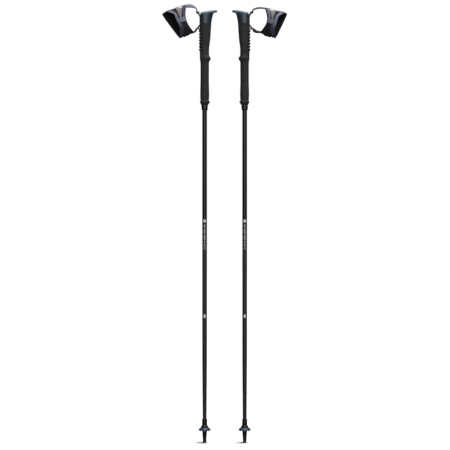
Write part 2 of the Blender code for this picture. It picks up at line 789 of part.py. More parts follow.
def cuff_ring(side, s, out):
    return [cuff_point(side, s, 2 * math.pi * i / CUFF_SIDES, out) for i in range(CUFF_SIDES)]


def build_cuff(side, parts):
    shares = [i / 6 for i in range(7)]
    outside = [cuff_ring(side, s, 0) for s in shares]
    inside = [cuff_ring(side, s, -CUFF_WALL) for s in reversed(shares)]
    origin = (EYE_AXIS, 0, from_top(UPPER_EYE_DROP))
    shade(loft("wrist_cuff", outside + inside, parts, closed=True, origin=origin), "band_black")

    top, bottom = cuff_section(side, 1)[:2]
    up = (top - bottom).normalized()
    outward = Vector((up.z, 0, -up.x))
    proud = (BINDING_THICKNESS - CUFF_WALL) / 2
    near, far = outward * GAP, outward * (GAP + BINDING_WIDTH)
    rings = []
    section = [(near, proud), (far, proud), (far, -CUFF_WALL - proud), (near, -CUFF_WALL - proud)]
    for offset, out in section:
        rings.append([point + offset for point in cuff_ring(side, 1, out)])
    binding = loft("cuff_binding", rings, parts, closed=True, origin=origin)
    shade(binding, "band_lavender")
    build_tab(side, parts)


def build_tab(side, parts):
    """A tapered tab over the cuff's front, from near its top edge down."""
    rows, columns = 5, 3
    grid = {}
    for layer, out in enumerate((2 * GAP, 2 * GAP + TAB_THICKNESS)):
        for r in range(rows + 1):
            t = r / rows
            angle = math.radians(TAB_TOP_ANGLE + t * (TAB_END_ANGLE - TAB_TOP_ANGLE))
            low_s = TAB_INNER[0] + TAB_INNER[1] * t
            high_s = TAB_OUTER[0] + TAB_OUTER[1] * t
            for c in range(columns + 1):
                s = low_s + (high_s - low_s) * c / columns
                grid[layer, r, c] = cuff_point(side, s, angle, out)
    bm = bmesh.new()
    points = {key: bm.verts.new(place) for key, place in grid.items()}
    for layer in (0, 1):
        for r in range(rows):
            for c in range(columns):
                bm.faces.new([points[layer, r, c], points[layer, r + 1, c],
                              points[layer, r + 1, c + 1], points[layer, r, c + 1]])
    rim = [(0, c) for c in range(columns)] + [(r, columns) for r in range(rows)]
    rim += [(rows, c) for c in range(columns, 0, -1)] + [(r, 0) for r in range(rows, 0, -1)]
    for a, b in zip(rim, rim[1:] + rim[:1]):
        bm.faces.new([points[0, *a], points[0, *b], points[1, *b], points[1, *a]])
    bmesh.ops.recalc_face_normals(bm, faces=bm.faces)
    hinge = (grid[0, 0, 0] + grid[0, 0, columns] + grid[1, 0, 0] + grid[1, 0, columns]) / 4
    shade(mesh_object("closure_tab", bm, parts, hinge), "tab_taupe")


# ---------------------------------------------------------------- foot


def build_ferrule(parts):
    socket = shaft_radius(FERRULE_TOP) + BORE_CLEARANCE
    chamfer = 0.6 * MM
    profile = [
        (0, SHAFT_SOCKET_FLOOR),
        (socket, SHAFT_SOCKET_FLOOR),
        (socket, FERRULE_TOP),
        (FERRULE_RADIUS - chamfer, FERRULE_TOP),
        (FERRULE_RADIUS, FERRULE_TOP - chamfer),
        (FERRULE_RADIUS, FERRULE_CONE_TOP),
        (FERRULE_CONE_RADIUS, FERRULE_CONE_BOTTOM),
        (FERRULE_CONE_RADIUS, FERRULE_CONE_BOTTOM - 0.8 * MM),
        (FERRULE_NECK_RADIUS, FERRULE_CONE_BOTTOM - 0.8 * MM),
        (FERRULE_NECK_RADIUS, FERRULE_BOTTOM),
        (STUD_RADIUS + BORE_CLEARANCE, FERRULE_BOTTOM),
        (STUD_RADIUS + BORE_CLEARANCE, STUD_SOCKET_TOP),
        (0, STUD_SOCKET_TOP),
    ]
    shade(turned("ferrule", profile, parts), "moulded_black")


def build_basket(parts):
    """A hub with a drooping skirt whose edge is scalloped into petals."""
    top = FERRULE_CONE_BOTTOM - 0.8 * MM - GAP
    bore = FERRULE_NECK_RADIUS + BORE_CLEARANCE
    edge = BASKET_RADIUS
    droop = BASKET_DROOP
    thick = BASKET_THICKNESS
    profile = [
        # radius, height, share of the scallop
        (bore, top, 0),
        (0.72 * edge, top, 0),
        (0.88 * edge, top - 0.30 * droop, 0.3),
        (edge, top - droop + 0.3 * thick, 1),
        (edge - 0.4 * thick, top - droop - 0.3 * thick, 1),
        (0.84 * edge, top - 0.42 * droop - thick, 0.3),
        (0.70 * edge, top - thick, 0),
        (BASKET_HUB_RADIUS, top - thick, 0),
        (BASKET_HUB_RADIUS, BASKET_HUB_BOTTOM, 0),
        (bore, BASKET_HUB_BOTTOM, 0),
    ]
    rings = []
    for radius, height, share in profile:
        ring = []
        for i in range(BASKET_SIDES):
            angle = 2 * math.pi * i / BASKET_SIDES
            notch = BASKET_SCALLOP * share * (0.5 - 0.5 * math.cos(BASKET_PETALS * angle))
            r = radius - notch
            ring.append((r * math.cos(angle), r * math.sin(angle), height + 0.5 * notch))
        rings.append(ring)
    shade(loft("basket", rings, parts, closed=True), "basket_blue")


def build_tip(parts):
    bore = FERRULE_NECK_RADIUS + BORE_CLEARANCE
    bottom = FERRULE_BOTTOM
    profile = [
        (bore, TIP_COLLAR_TOP),
        (TIP_COLLAR_RADIUS, TIP_COLLAR_TOP),
        (TIP_COLLAR_RADIUS, bottom),
        (bore, bottom),
    ]
    shade(turned("tip_collar", profile, parts, closed=True), "moulded_black")

    stud_top = STUD_SOCKET_TOP - 2 * GAP
    profile = [(0, stud_top), (STUD_RADIUS, stud_top), (STUD_RADIUS, STUD_BOTTOM), (0, STUD_BOTTOM)]
    shade(turned("tip_stud", profile, parts, sides=12), "steel")

    socket = STUD_RADIUS + BORE_CLEARANCE
    rounding = TIP_FOOT_RADIUS - TIP_FOOT_FLAT
    profile = [
        (0, STUD_BOTTOM - GAP),
        (socket, STUD_BOTTOM - GAP),
        (socket, TIP_TOP),
        (TIP_TOP_RADIUS, TIP_TOP),
        (TIP_FOOT_RADIUS, rounding),
        (TIP_FOOT_FLAT, 0),
        (0, 0),
    ]
    shade(turned("rubber_tip", profile, parts), "rubber")


# ---------------------------------------------------------------- the pair


def build_pole(side, parts, cutters):
    """Models a pole that stands on the origin with its strap towards +X."""
    upper, lower = UPPER_BAND_PATHS[side], LOWER_BAND_PATHS[side]
    build_shaft(parts)
    build_head(parts, cutters)
    build_foam(parts, cutters)
    build_collar(parts)
    build_cap(parts, cutters)
    build_button(parts, cutters)
    build_strap_plug(parts, cutters)
    build_band("upper_band", upper, UPPER_EYE_DROP, "band_lavender", parts, cutters)
    build_band("lower_band", lower, LOWER_EYE_DROP, "band_black", parts, cutters)
    build_cuff(side, parts)
    build_ferrule(parts)
    build_basket(parts)
    build_tip(parts)


def mirror_pieces(pieces):
    """Turns finished pieces into their mirror images across the plane x = 0."""
    graph = bpy.context.evaluated_depsgraph_get()
    meshes = [bpy.data.meshes.new_from_object(piece.evaluated_get(graph)) for piece in pieces]
    for piece, mesh in zip(pieces, meshes):
        mesh.transform(Matrix.Scale(-1, 4, (1, 0, 0)))
        mesh.flip_normals()
        piece.modifiers.clear()
        piece.data = mesh
        piece.location.x = -piece.location.x


def make_pole(side, parts, cutters):
    """Models one pole and puts it in its place, with its strap away from the other pole."""
    placed = set(parts.objects)
    build_pole(side, parts, cutters)
    bpy.context.view_layer.update()
    pieces = [piece for piece in parts.objects if piece not in placed]
    x = POLE_SPACING / 2
    if side == "left":
        x = -x
        mirror_pieces(pieces)
        for cutter in list(cutters.objects):
            bpy.data.objects.remove(cutter)
    pole = bpy.data.objects.new(f"{side}_pole", None)
    pole.location = (x, 0, 0)
    parts.objects.link(pole)
    for piece in pieces:
        piece.name = f"{side}_{piece.name}"
    # The live cutters are moved with their pole, so that each Boolean keeps its place.
    for piece in pieces + list(cutters.objects):
        piece.parent = pole


def main():
    clear_scene()
    parts = new_collection("trekking_poles")
    cutters = new_collection("cutters", hidden=True)
    for side in ("left", "right"):
        make_pole(side, parts, cutters)


main()
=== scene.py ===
"""The visible model of a pair of fixed-length trekking poles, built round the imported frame.

Each pole is worked out in its own frame, in millimetres: x points outwards to the hand strap,
-x to the beak of the cap, z up, with the shaft's axis at x = y = 0 and the floor at z = 0. The
left pole is the mirror image of the right one. Pieces are numpy surfaces: grids of points in
two parameters, or profiles carried along a path.
"""

import logging
import math
from dataclasses import dataclass, field
from enum import Enum

import bmesh
import bpy
import numpy as np
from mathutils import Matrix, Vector


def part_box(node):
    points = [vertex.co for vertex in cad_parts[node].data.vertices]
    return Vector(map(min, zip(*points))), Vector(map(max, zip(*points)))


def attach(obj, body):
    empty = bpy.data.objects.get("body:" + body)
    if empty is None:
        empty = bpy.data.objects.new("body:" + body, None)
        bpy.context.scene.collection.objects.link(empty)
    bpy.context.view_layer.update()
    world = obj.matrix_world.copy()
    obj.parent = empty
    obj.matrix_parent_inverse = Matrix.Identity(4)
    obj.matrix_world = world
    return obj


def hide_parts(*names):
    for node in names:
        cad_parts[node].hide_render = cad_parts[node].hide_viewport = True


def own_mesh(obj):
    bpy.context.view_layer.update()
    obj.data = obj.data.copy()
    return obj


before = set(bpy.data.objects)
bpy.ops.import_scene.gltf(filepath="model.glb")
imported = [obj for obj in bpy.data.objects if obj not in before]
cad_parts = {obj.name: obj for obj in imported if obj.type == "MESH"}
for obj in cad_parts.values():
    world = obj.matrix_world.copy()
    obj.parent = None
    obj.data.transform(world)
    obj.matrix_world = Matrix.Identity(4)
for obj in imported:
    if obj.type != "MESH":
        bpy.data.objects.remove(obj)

Array = np.ndarray
LOG = logging.getLogger("poles")
MM = 0.001
TOP = 1200.0  # mm from the floor to the cap's highest point
GAP = 0.3  # mm between pieces that touch
SEAM_GAP = 0.06  # mm, the hairline that shows between the grip's parts
FOLD_THICKNESS = 1.7  # mm, of a band's end where it is folded back
FOLD_SHARE = 0.94  # of the band's width
UV_NAME = "pattern"
TINT_NAME = "tint"


class Side(Enum):
    """Which pole of the pair."""

    LEFT = "left"
    RIGHT = "right"

    @property
    def sign(self) -> int:
        """1 where the strap points to +X, and -1 where it points to -X."""
        return 1 if self is Side.RIGHT else -1


class Slot(Enum):
    """The record's material slots."""

    CARBON = "carbon"
    HEAD = "head"
    CAP = "cap"
    BUTTON = "button"
    MOULDED = "moulded"
    FOAM = "foam"
    WEBBING = "webbing"
    DARK_FABRIC = "dark_fabric"
    TAB_FABRIC = "tab_fabric"
    BASKET = "basket"
    STEEL = "steel"
    RUBBER = "rubber"


# ---------------------------------------------------------------- curves and tables


def smooth_table(at: Array, knots: Array, values: Array) -> Array:
    """A smooth curve through a table.

    Between two knots it is the cubic that has their values, and at each knot the mean slope of
    the straight lines beside it.

    Args:
        at: where the curve is wanted, any shape.
        knots: rising positions of the table's rows.
        values: one row of values for each knot.

    Returns:
        The values there, with the shape of at followed by that of a row.
    """
    knots, values = np.asarray(knots, float), np.asarray(values, float)
    slope = np.gradient(values, knots, axis=0)
    at = np.clip(np.asarray(at, float), knots[0], knots[-1])
    i = np.clip(np.searchsorted(knots, at, side="right") - 1, 0, len(knots) - 2)
    width = knots[i + 1] - knots[i]
    t = (at - knots[i]) / width
    if values.ndim > 1:
        t, width = t[..., None], width[..., None]
    return (
        values[i] * (2 * t**3 - 3 * t**2 + 1)
        + slope[i] * width * (t**3 - 2 * t**2 + t)
        + values[i + 1] * (3 * t**2 - 2 * t**3)
        + slope[i + 1] * width * (t**3 - t**2)
    )


def smooth_step(x: Array, low: float, high: float) -> Array:
    """0 below low, 1 above high, and 3t^2 - 2t^3 between them."""
    t = np.clip((np.asarray(x, float) - low) / (high - low), 0, 1)
    return t * t * (3 - 2 * t)


def bump(distance: Array, reach: float) -> Array:
    """Half a cosine wave: 1 at no distance, falling to 0 at reach."""
    return 0.5 + 0.5 * np.cos(np.pi * np.minimum(1, np.abs(distance) / reach))


def around(sides: int) -> Array:
    """Equally spaced angles of a full turn, in radians, the end left out."""
    return np.linspace(0, 2 * np.pi, sides, endpoint=False)


def rounded_square(sides: int, power: float) -> Array:
    """A superellipse of radius 1: the cosine and sine of each angle, raised to 2 / power.

    Args:
        sides: points round it.
        power: 2 gives a circle, and more gives a squarer shape.

    Returns:
        An array of (sides, 2).
    """
    angle = around(sides)
    wave = np.stack([np.cos(angle), np.sin(angle)], axis=1)
    return np.sign(wave) * np.abs(wave) ** (2 / power)


def rounded_end(distance: Array, radius: float) -> Array:
    """How far a rounded edge lies inside its outline, at a distance from the end face."""
    t = np.clip(1 - np.asarray(distance, float) / radius, 0, 1)
    return radius * (1 - np.sqrt(1 - t**2))


def path_length(points: Array) -> Array:
    """Length along a line of points, up to each of them."""
    steps = np.linalg.norm(np.diff(points, axis=0), axis=1)
    return np.concatenate([[0.0], np.cumsum(steps)])


def unit(vectors: Array) -> Array:
    """Each vector divided by its length."""
    return vectors / np.linalg.norm(vectors, axis=-1, keepdims=True)


def stacked(*parts: Array) -> Array:
    """Coordinates brought to one shape and put side by side along a new last axis."""
    return np.stack(np.broadcast_arrays(*parts), axis=-1)


# ---------------------------------------------------------------- shapes


@dataclass
class Shape:
    """A mesh in a pole's own frame, in millimetres.

    Fields:
        points: (n, 3) places.
        quads: (m, 4) indices into points.
        triangles: (k, 3) indices into points.
        quad_uv: (m, 4, 2) pattern coordinates of the quads' corners, in millimetres.
        tint: (n,) how far each point goes from the finish's colour to its second colour.
        patch: (m,) which of the piece's finishes each quad has.
    """

    points: Array
    quads: Array
    triangles: Array
    quad_uv: Array
    tint: Array
    patch: Array

    @staticmethod
    def joined(shapes: list["Shape"]) -> "Shape":
        """Several closed shapes as one mesh, not fused."""
        starts = np.concatenate([[0], np.cumsum([len(s.points) for s in shapes])])[:-1]
        return Shape(
            np.concatenate([s.points for s in shapes]),
            np.concatenate([s.quads + k for s, k in zip(shapes, starts)]),
            np.concatenate([s.triangles + k for s, k in zip(shapes, starts)]),
            np.concatenate([s.quad_uv for s in shapes]),
            np.concatenate([s.tint for s in shapes]),
            np.concatenate([s.patch for s in shapes]),
        )


def quad_grid(rows: int, columns: int, wrap: bool) -> Array:
    """Indices of the quads of a grid whose columns close on themselves.

    Args:
        rows: rows of points.
        columns: points in a row.
        wrap: whether the last row joins the first one too.

    Returns:
        (rows or rows - 1) x columns x 4 indices.
    """
    index = np.arange(rows * columns).reshape(rows, columns)
    across = np.roll(index, -1, axis=1)
    up, up_across = np.roll(index, -1, axis=0), np.roll(across, -1, axis=0)
    quads = np.stack([index, across, up_across, up], axis=-1)
    return quads if wrap else quads[:-1]


def tube(rings: Array, tint: Array | float = 0.0, wrap: bool = False, shift: float = 0.0) -> Shape:
    """A closed body through rings of points.

    Its pattern coordinates are the length round the ring and the length along the body. Unless
    the rings close on themselves, a fan to the mean point shuts each end.

    Args:
        rings: (rows, columns, 3) points.
        tint: one value, or (rows, columns) of them.
        wrap: whether the last ring joins the first.
        shift: added to the pattern's second coordinate.

    Returns:
        The body.
    """
    rows, columns = rings.shape[:2]
    quads = quad_grid(rows, columns, wrap)
    middle = rings[rows // 2]
    turn = path_length(np.vstack([middle, middle[:1]]))
    centres = rings.mean(axis=1)
    rise = path_length(np.vstack([centres, centres[:1]]))
    if wrap:
        line = rings[:, 0]
        rise = path_length(np.vstack([line, line[:1]]))
    u = np.stack([turn[:-1], turn[1:], turn[1:], turn[:-1]], axis=-1)
    v = np.stack([rise[:-1], rise[:-1], rise[1:], rise[1:]], axis=-1)[: len(quads)]
    uv = stacked(u[None], v[:, None] + shift)
    points = rings.reshape(-1, 3)
    shade = np.broadcast_to(np.asarray(tint, float), (rows, columns)).reshape(-1)
    triangles = np.zeros((0, 3), int)
    if not wrap:
        first = np.arange(columns)
        last = first + (rows - 1) * columns
        low, high = len(points), len(points) + 1
        points = np.vstack([points, rings[0].mean(axis=0), rings[-1].mean(axis=0)])
        shade = np.concatenate([shade, shade[:1], shade[-1:]])
        triangles = np.concatenate([
            np.stack([np.roll(first, -1), first, np.full(columns, low)], axis=1),
            np.stack([last, np.roll(last, -1), np.full(columns, high)], axis=1),
        ])
    return Shape(
        points, quads.reshape(-1, 4), triangles, uv.reshape(-1, 4, 2), shade,
        np.zeros(quads.shape[0] * columns, int),
    )


def turned(profile: Array, sides: int = 64, tint: Array | float = 0.0) -> Shape:
    """A profile of (radius, height) rows turned about the shaft's axis; a radius is not 0."""
    profile = np.asarray(profile, float)
    angle = around(sides)
    radius, height = profile[:, :1], profile[:, 1:]
    rings = stacked(radius * np.cos(angle), radius * np.sin(angle), height)
    shade = np.asarray(tint, float)
    return tube(rings, shade[:, None] if shade.ndim else shade)


def rounded_profile(corners: list[tuple[float, float, float]], steps: int = 5) -> Array:
    """A profile whose corners are rounded.

    Each corner of radius r is cut back by r along both of its sides and replaced by the
    quadratic curve that is pulled towards it.

    Args:
        corners: (radius from the axis, height, rounding) of each corner.
        steps: points on a rounded corner.

    Returns:
        (n, 2) radii and heights.
    """
    rows = np.asarray(corners, float)
    places, rounding = rows[:, :2], rows[:, 2]
    out = [places[:1]]
    t = np.linspace(0, 1, steps)[:, None]
    for i in range(1, len(places) - 1):
        before, here, after = places[i - 1], places[i], places[i + 1]
        reach_in = min(rounding[i], 0.49 * np.linalg.norm(here - before))
        reach_out = min(rounding[i], 0.49 * np.linalg.norm(after - here))
        a = here + unit(before - here) * reach_in
        b = here + unit(after - here) * reach_out
        out.append((1 - t) ** 2 * a + 2 * t * (1 - t) * here + t**2 * b)
    out.append(places[-1:])
    return np.vstack(out)


def swept(
    path: Array, width: Array, normal: Array, half_width: Array, half_thick: Array,
    sides: int = 28, power: float = 5.0, tint: Array | float = 0.0,
) -> Shape:
    """A flat rounded section carried along a path.

    Args:
        path: (n, 3) middle line.
        width: (n, 3) unit vectors across the strip.
        normal: (n, 3) unit vectors out of its face.
        half_width: half its width at each point, or one value.
        half_thick: half its thickness at each point, or one value.
        sides: points round the section.
        power: how square the section is.
        tint: one value, or one for each point of the path.

    Returns:
        The strip, closed at both ends.
    """
    section = rounded_square(sides, power)
    end = path_length(path)
    from_end = np.minimum(end, end[-1] - end)
    half_thick = np.broadcast_to(half_thick, end.shape)
    inset = rounded_end(from_end, 0.8)
    across = (np.broadcast_to(half_width, end.shape) - inset)[:, None, None]
    through = np.maximum(half_thick - inset, 0.25 * half_thick)[:, None, None]
    rings = (
        path[:, None]
        + width[:, None] * section[None, :, :1] * across
        + normal[:, None] * section[None, :, 1:] * through
    )
    shade = np.asarray(tint, float)
    return tube(rings, shade[:, None] if shade.ndim == 1 else shade)


def block(
    low: Array, high: Array, power: float = 6.0, rounding: float = 0.6, axis: int = 2
) -> Shape:
    """A moulded block with rounded edges: superellipse rings along one axis.

    Args:
        low: its lowest corner.
        high: its highest corner.
        power: how square its section is.
        rounding: radius of the edges at both ends.
        axis: the axis that the rings follow.

    Returns:
        The block.
    """
    low, high = np.asarray(low, float), np.asarray(high, float)
    middle, half = (low + high) / 2, (high - low) / 2
    reach = min(rounding, 0.45 * 2 * half[axis])
    near = reach * (1 - np.cos(np.linspace(0, np.pi / 2, 5)))
    length = 2 * half[axis]
    along = np.concatenate([near, [length / 2], length - near[::-1]])
    inset = rounded_end(np.minimum(along, length - along), reach)
    section = rounded_square(28, power)
    a, b = [k for k in range(3) if k != axis]
    rings = np.zeros((len(along), len(section), 3))
    rings[..., a] = middle[a] + section[:, 0] * (half[a] - inset[:, None])
    rings[..., b] = middle[b] + section[:, 1] * (half[b] - inset[:, None])
    rings[..., axis] = (low[axis] + along)[:, None]
    return tube(rings)


def slab(top: Array, bottom: Array, tint: Array | float = 0.0) -> Shape:
    """A closed sheet between two grids of points.

    Each row runs over the top grid and back over the bottom one, and quads between the two
    shut the first and the last row. Pattern coordinates are lengths on the top grid.

    Args:
        top: (rows, columns, 3) points.
        bottom: the same, under it.
        tint: one value, or (rows, columns) of them.

    Returns:
        The sheet.
    """
    rows, columns = top.shape[:2]
    rings = np.concatenate([top, bottom[:, ::-1]], axis=1)
    around_count = 2 * columns
    quads = quad_grid(rows, around_count, False).reshape(-1, 4)
    span = path_length(top[rows // 2])
    span = np.concatenate([span, span[::-1], span[:1]])
    rise = path_length(top[:, columns // 2])
    u = np.stack([span[:-1], span[1:], span[1:], span[:-1]], axis=-1)
    v = np.stack([rise[:-1], rise[:-1], rise[1:], rise[1:]], axis=-1)
    uv = stacked(u[None], v[:, None]).reshape(-1, 4, 2)
    j = np.arange(columns - 1)
    end = np.stack([j + 1, j, around_count - 1 - j, around_count - 2 - j], axis=1)
    caps = np.concatenate([end, end[:, ::-1] + (rows - 1) * around_count])
    cap_uv = np.zeros((len(caps), 4, 2))
    shade = np.broadcast_to(np.asarray(tint, float), (rows, columns))
    shade = np.concatenate([shade, shade[:, ::-1]], axis=1).reshape(-1)
    return Shape(
        rings.reshape(-1, 3), np.concatenate([quads, caps]), np.zeros((0, 3), int),
        np.concatenate([uv, cap_uv]), shade, np.zeros(len(quads) + len(caps), int),
    )


def stitches(line: Array, normal: Array, pitch: float, length: float, radius: float) -> Shape:
    """A row of stitches: short threads that rise from the cloth, bridge it and dive again.

    Each one is five rings of six points. Its middle stands proud by its radius, and its ends
    lie under the surface.

    Args:
        line: (n, 3) where the row runs, on the surface.
        normal: (n, 3) unit vectors out of the surface.
        pitch: distance from a stitch to the next.
        length: length of a stitch.
        radius: radius of the thread.

    Returns:
        All the stitches as one mesh.
    """
    along = path_length(line)
    count = max(1, int(along[-1] / pitch))
    middle = (np.arange(count) + 0.5) * along[-1] / count
    offset = np.array([-0.5, -0.32, 0.0, 0.32, 0.5]) * length
    height = np.array([-1.0, 0.35, 0.75, 0.35, -1.0]) * radius
    at = np.clip(middle[:, None] + offset, 0, along[-1])
    place = np.stack([np.interp(at, along, line[:, k]) for k in range(3)], axis=-1)
    up = unit(np.stack([np.interp(at, along, normal[:, k]) for k in range(3)], axis=-1))
    ahead = unit(place[:, -1:] - place[:, :1])
    side = unit(np.cross(ahead, up))
    place = place + up * height[:, None]
    angle = around(6)
    thick = radius * np.array([0.6, 1.0, 1.0, 1.0, 0.6])[:, None, None]
    rings = (
        place[:, :, None]
        + side[:, :, None] * np.cos(angle)[:, None] * thick
        + up[:, :, None] * np.sin(angle)[:, None] * thick
    )
    rows, sides = 5, 6
    quads = quad_grid(rows, sides, False).reshape(-1, 4)
    fan = np.array([[0, 5, 4, 1], [1, 4, 3, 2]])
    caps = np.concatenate([fan, fan[:, ::-1] + (rows - 1) * sides])
    one = np.concatenate([quads, caps])
    starts = np.arange(count) * rows * sides
    all_quads = (one[None] + starts[:, None, None]).reshape(-1, 4)
    uv = np.zeros((len(all_quads), 4, 2))
    points = rings.reshape(-1, 3)
    return Shape(
        points, all_quads, np.zeros((0, 3), int), uv, np.zeros(len(points)),
        np.zeros(len(all_quads), int),
    )


# ---------------------------------------------------------------- finishes


def to_linear(code: str) -> tuple[float, float, float, float]:
    """An sRGB hex colour as linear red, green, blue and 1."""
    value = np.array([int(code[k : k + 2], 16) for k in (0, 2, 4)]) / 255
    linear = np.where(value <= 0.04045, value / 12.92, ((value + 0.055) / 1.055) ** 2.4)
    return (*linear.tolist(), 1.0)


def add_node(
    tree: bpy.types.NodeTree, kind: str, settings: dict | None = None, links: dict | None = None
) -> bpy.types.Node:
    """Adds a node.

    Args:
        tree: where it goes.
        kind: the node's type.
        settings: values by input name, by input number, or by property name.
        links: output sockets by the name or number of the input that they feed.

    Returns:
        The node.
    """
    node = tree.nodes.new(kind)
    for key, value in (settings or {}).items():
        if isinstance(key, int) or key in node.inputs:
            node.inputs[key].default_value = value
        else:
            setattr(node, key, value)
    for key, socket in (links or {}).items():
        tree.links.new(socket, node.inputs[key])
    return node


@dataclass(frozen=True)
class Finish:
    """A real material and how its surface was made.

    Fields:
        name: the material's name in the file.
        colour: its sRGB colour.
        second: its second sRGB colour, where the piece's tint is 1.
        roughness: mean roughness.
        spread: how far the roughness varies either way.
        mottle: how far noise alone moves the colour to the second one.
        mottle_mm: size of the mottled patches.
        relief_mm: height of the surface's fine relief.
        sheen: strength of the soft light at grazing angles.
        coat: weight of a clear coat.
        metallic: 1 for bare metal.
    """

    name: str
    colour: str
    second: str
    roughness: float = 0.5
    spread: float = 0.05
    mottle: float = 0.15
    mottle_mm: float = 6.0
    relief_mm: float = 0.02
    sheen: float = 0.0
    coat: float = 0.0
    metallic: float = 0.0

    def material(self) -> bpy.types.Material:
        """The material, made once."""
        made = bpy.data.materials.get(self.name)
        if made is None:
            made = bpy.data.materials.new(self.name)
            made.use_nodes = True
            self.dress(made.node_tree)
        return made

    def dress(self, tree: bpy.types.NodeTree) -> None:
        """Wires colour, roughness and relief into the shader.

        Args:
            tree: the material's nodes.
        """
        shader = tree.nodes["Principled BSDF"]
        shader.inputs["Metallic"].default_value = self.metallic
        shader.inputs["Sheen Weight"].default_value = self.sheen
        shader.inputs["Sheen Roughness"].default_value = 0.5
        shader.inputs["Coat Weight"].default_value = self.coat
        shader.inputs["Coat Roughness"].default_value = 0.08
        place = add_node(tree, "ShaderNodeTexCoord").outputs["Object"]
        patches = add_node(
            tree, "ShaderNodeTexNoise", {"Scale": 1 / (self.mottle_mm * MM), "Detail": 4.0},
            {"Vector": place},
        ).outputs["Fac"]
        height = self.relief(tree, place)
        colour = self.tone(tree, patches, height)
        rough = add_node(
            tree, "ShaderNodeMapRange",
            {"From Min": 0.3, "From Max": 0.7, "To Min": self.roughness - self.spread,
             "To Max": self.roughness + self.spread},
            {"Value": patches},
        )
        relief = add_node(
            tree, "ShaderNodeBump", {"Strength": 1.0, "Distance": self.relief_mm * MM},
            {"Height": height},
        )
        tree.links.new(colour, shader.inputs["Base Color"])
        tree.links.new(rough.outputs["Result"], shader.inputs["Roughness"])
        tree.links.new(relief.outputs["Normal"], shader.inputs["Normal"])

    def tone(
        self, tree: bpy.types.NodeTree, patches: bpy.types.NodeSocket, height: bpy.types.NodeSocket
    ) -> bpy.types.NodeSocket:
        """Mixes the two colours by the piece's tint, the mottling and the relief, whose low places
        are painted darker as shade.

        Args:
            tree: the material's nodes.
            patches: noise from 0 to 1.
            height: the relief from 0 to 1.

        Returns:
            The colour's socket.
        """
        tint = add_node(tree, "ShaderNodeAttribute", {"attribute_name": TINT_NAME}).outputs["Fac"]
        # Painted shade: the relief's low places take more of the darker second colour.
        hollow_shade = add_node(
            tree, "ShaderNodeMath", {"operation": "SUBTRACT", 0: 0.5}, {1: height}
        ).outputs[0]
        spots = add_node(
            tree, "ShaderNodeMath", {"operation": "SUBTRACT", 1: 0.5}, {0: patches}
        ).outputs[0]
        both = add_node(
            tree, "ShaderNodeMath", {"operation": "MULTIPLY_ADD", 1: self.mottle * 3.0},
            {0: spots, 2: tint},
        ).outputs[0]
        share = add_node(
            tree, "ShaderNodeMath",
            {"operation": "MULTIPLY_ADD", 1: self.mottle * 2.0, "use_clamp": True},
            {0: hollow_shade, 2: both},
        ).outputs[0]
        mix = add_node(
            tree, "ShaderNodeMix", {"data_type": "RGBA"}, {0: share}
        )
        mix.inputs[6].default_value = to_linear(self.colour)
        mix.inputs[7].default_value = to_linear(self.second)
        return mix.outputs[2]

    def relief(
        self, tree: bpy.types.NodeTree, place: bpy.types.NodeSocket
    ) -> bpy.types.NodeSocket:
        """The spark-eroded grain that a mould leaves: fine even noise of 0.5 mm."""
        return add_node(
            tree, "ShaderNodeTexNoise", {"Scale": 1 / (0.5 * MM), "Detail": 2.0}, {"Vector": place}
        ).outputs["Fac"]


@dataclass(frozen=True)
class Foam(Finish):
    """Closed-cell foam, cut and heat-skinned: tiny pits in a matt skin."""

    cell_mm: float = 0.9

    def relief(
        self, tree: bpy.types.NodeTree, place: bpy.types.NodeSocket
    ) -> bpy.types.NodeSocket:
        """Rounded cells: the distance to the nearest of scattered points, a cell apart."""
        cells = add_node(
            tree, "ShaderNodeTexVoronoi", {"Scale": 1 / (self.cell_mm * MM)}, {"Vector": place}
        ).outputs["Distance"]
        return add_node(
            tree, "ShaderNodeMath", {"operation": "SUBTRACT", 0: 1.0, "use_clamp": True}, {1: cells}
        ).outputs[0]


@dataclass(frozen=True)
class Cloth(Finish):
    """Woven cloth: two families of threads that pass over and under each other.

    Fields:
        warp_mm: spacing of the threads across the strip.
        weft_mm: spacing of the threads along it.
    """

    warp_mm: float = 1.4
    weft_mm: float = 1.4

    def relief(
        self, tree: bpy.types.NodeTree, place: bpy.types.NodeSocket
    ) -> bpy.types.NodeSocket:
        """Half of 1 plus the product of two sine waves, one thread spacing to each wave."""
        pattern = add_node(tree, "ShaderNodeUVMap", {"uv_map": UV_NAME}).outputs["UV"]
        parts = add_node(tree, "ShaderNodeSeparateXYZ", {}, {"Vector": pattern})
        waves = []
        for axis, spacing in ((0, self.warp_mm), (1, self.weft_mm)):
            turn = add_node(
                tree, "ShaderNodeMath", {"operation": "MULTIPLY", 1: math.pi / (spacing * MM)},
                {0: parts.outputs[axis]},
            )
            waves.append(
                add_node(tree, "ShaderNodeMath", {"operation": "SINE"}, {0: turn.outputs[0]})
            )
        product = add_node(
            tree, "ShaderNodeMath", {"operation": "MULTIPLY"},
            {0: waves[0].outputs[0], 1: waves[1].outputs[0]},
        )
        return add_node(
            tree, "ShaderNodeMath", {"operation": "MULTIPLY_ADD", 1: 0.5, 2: 0.5},
            {0: product.outputs[0]},
        ).outputs[0]


@dataclass(frozen=True)
class Knit(Finish):
    """Spacer knit: a cushioned cloth with rows of small holes.

    Fields:
        hole_mm: distance between the holes.
    """

    hole_mm: float = 2.4

    def relief(
        self, tree: bpy.types.NodeTree, place: bpy.types.NodeSocket
    ) -> bpy.types.NodeSocket:
        """The distance to the nearest point of an even lattice, as the holes' rounded rims."""
        pattern = add_node(tree, "ShaderNodeUVMap", {"uv_map": UV_NAME}).outputs["UV"]
        cells = add_node(
            tree, "ShaderNodeTexVoronoi",
            {"voronoi_dimensions": "2D", "Scale": 1 / (self.hole_mm * MM), "Randomness": 0.25},
            {"Vector": pattern},
        ).outputs["Distance"]
        return add_node(
            tree, "ShaderNodeMapRange", {"From Min": 0.15, "From Max": 0.55}, {"Value": cells}
        ).outputs["Result"]


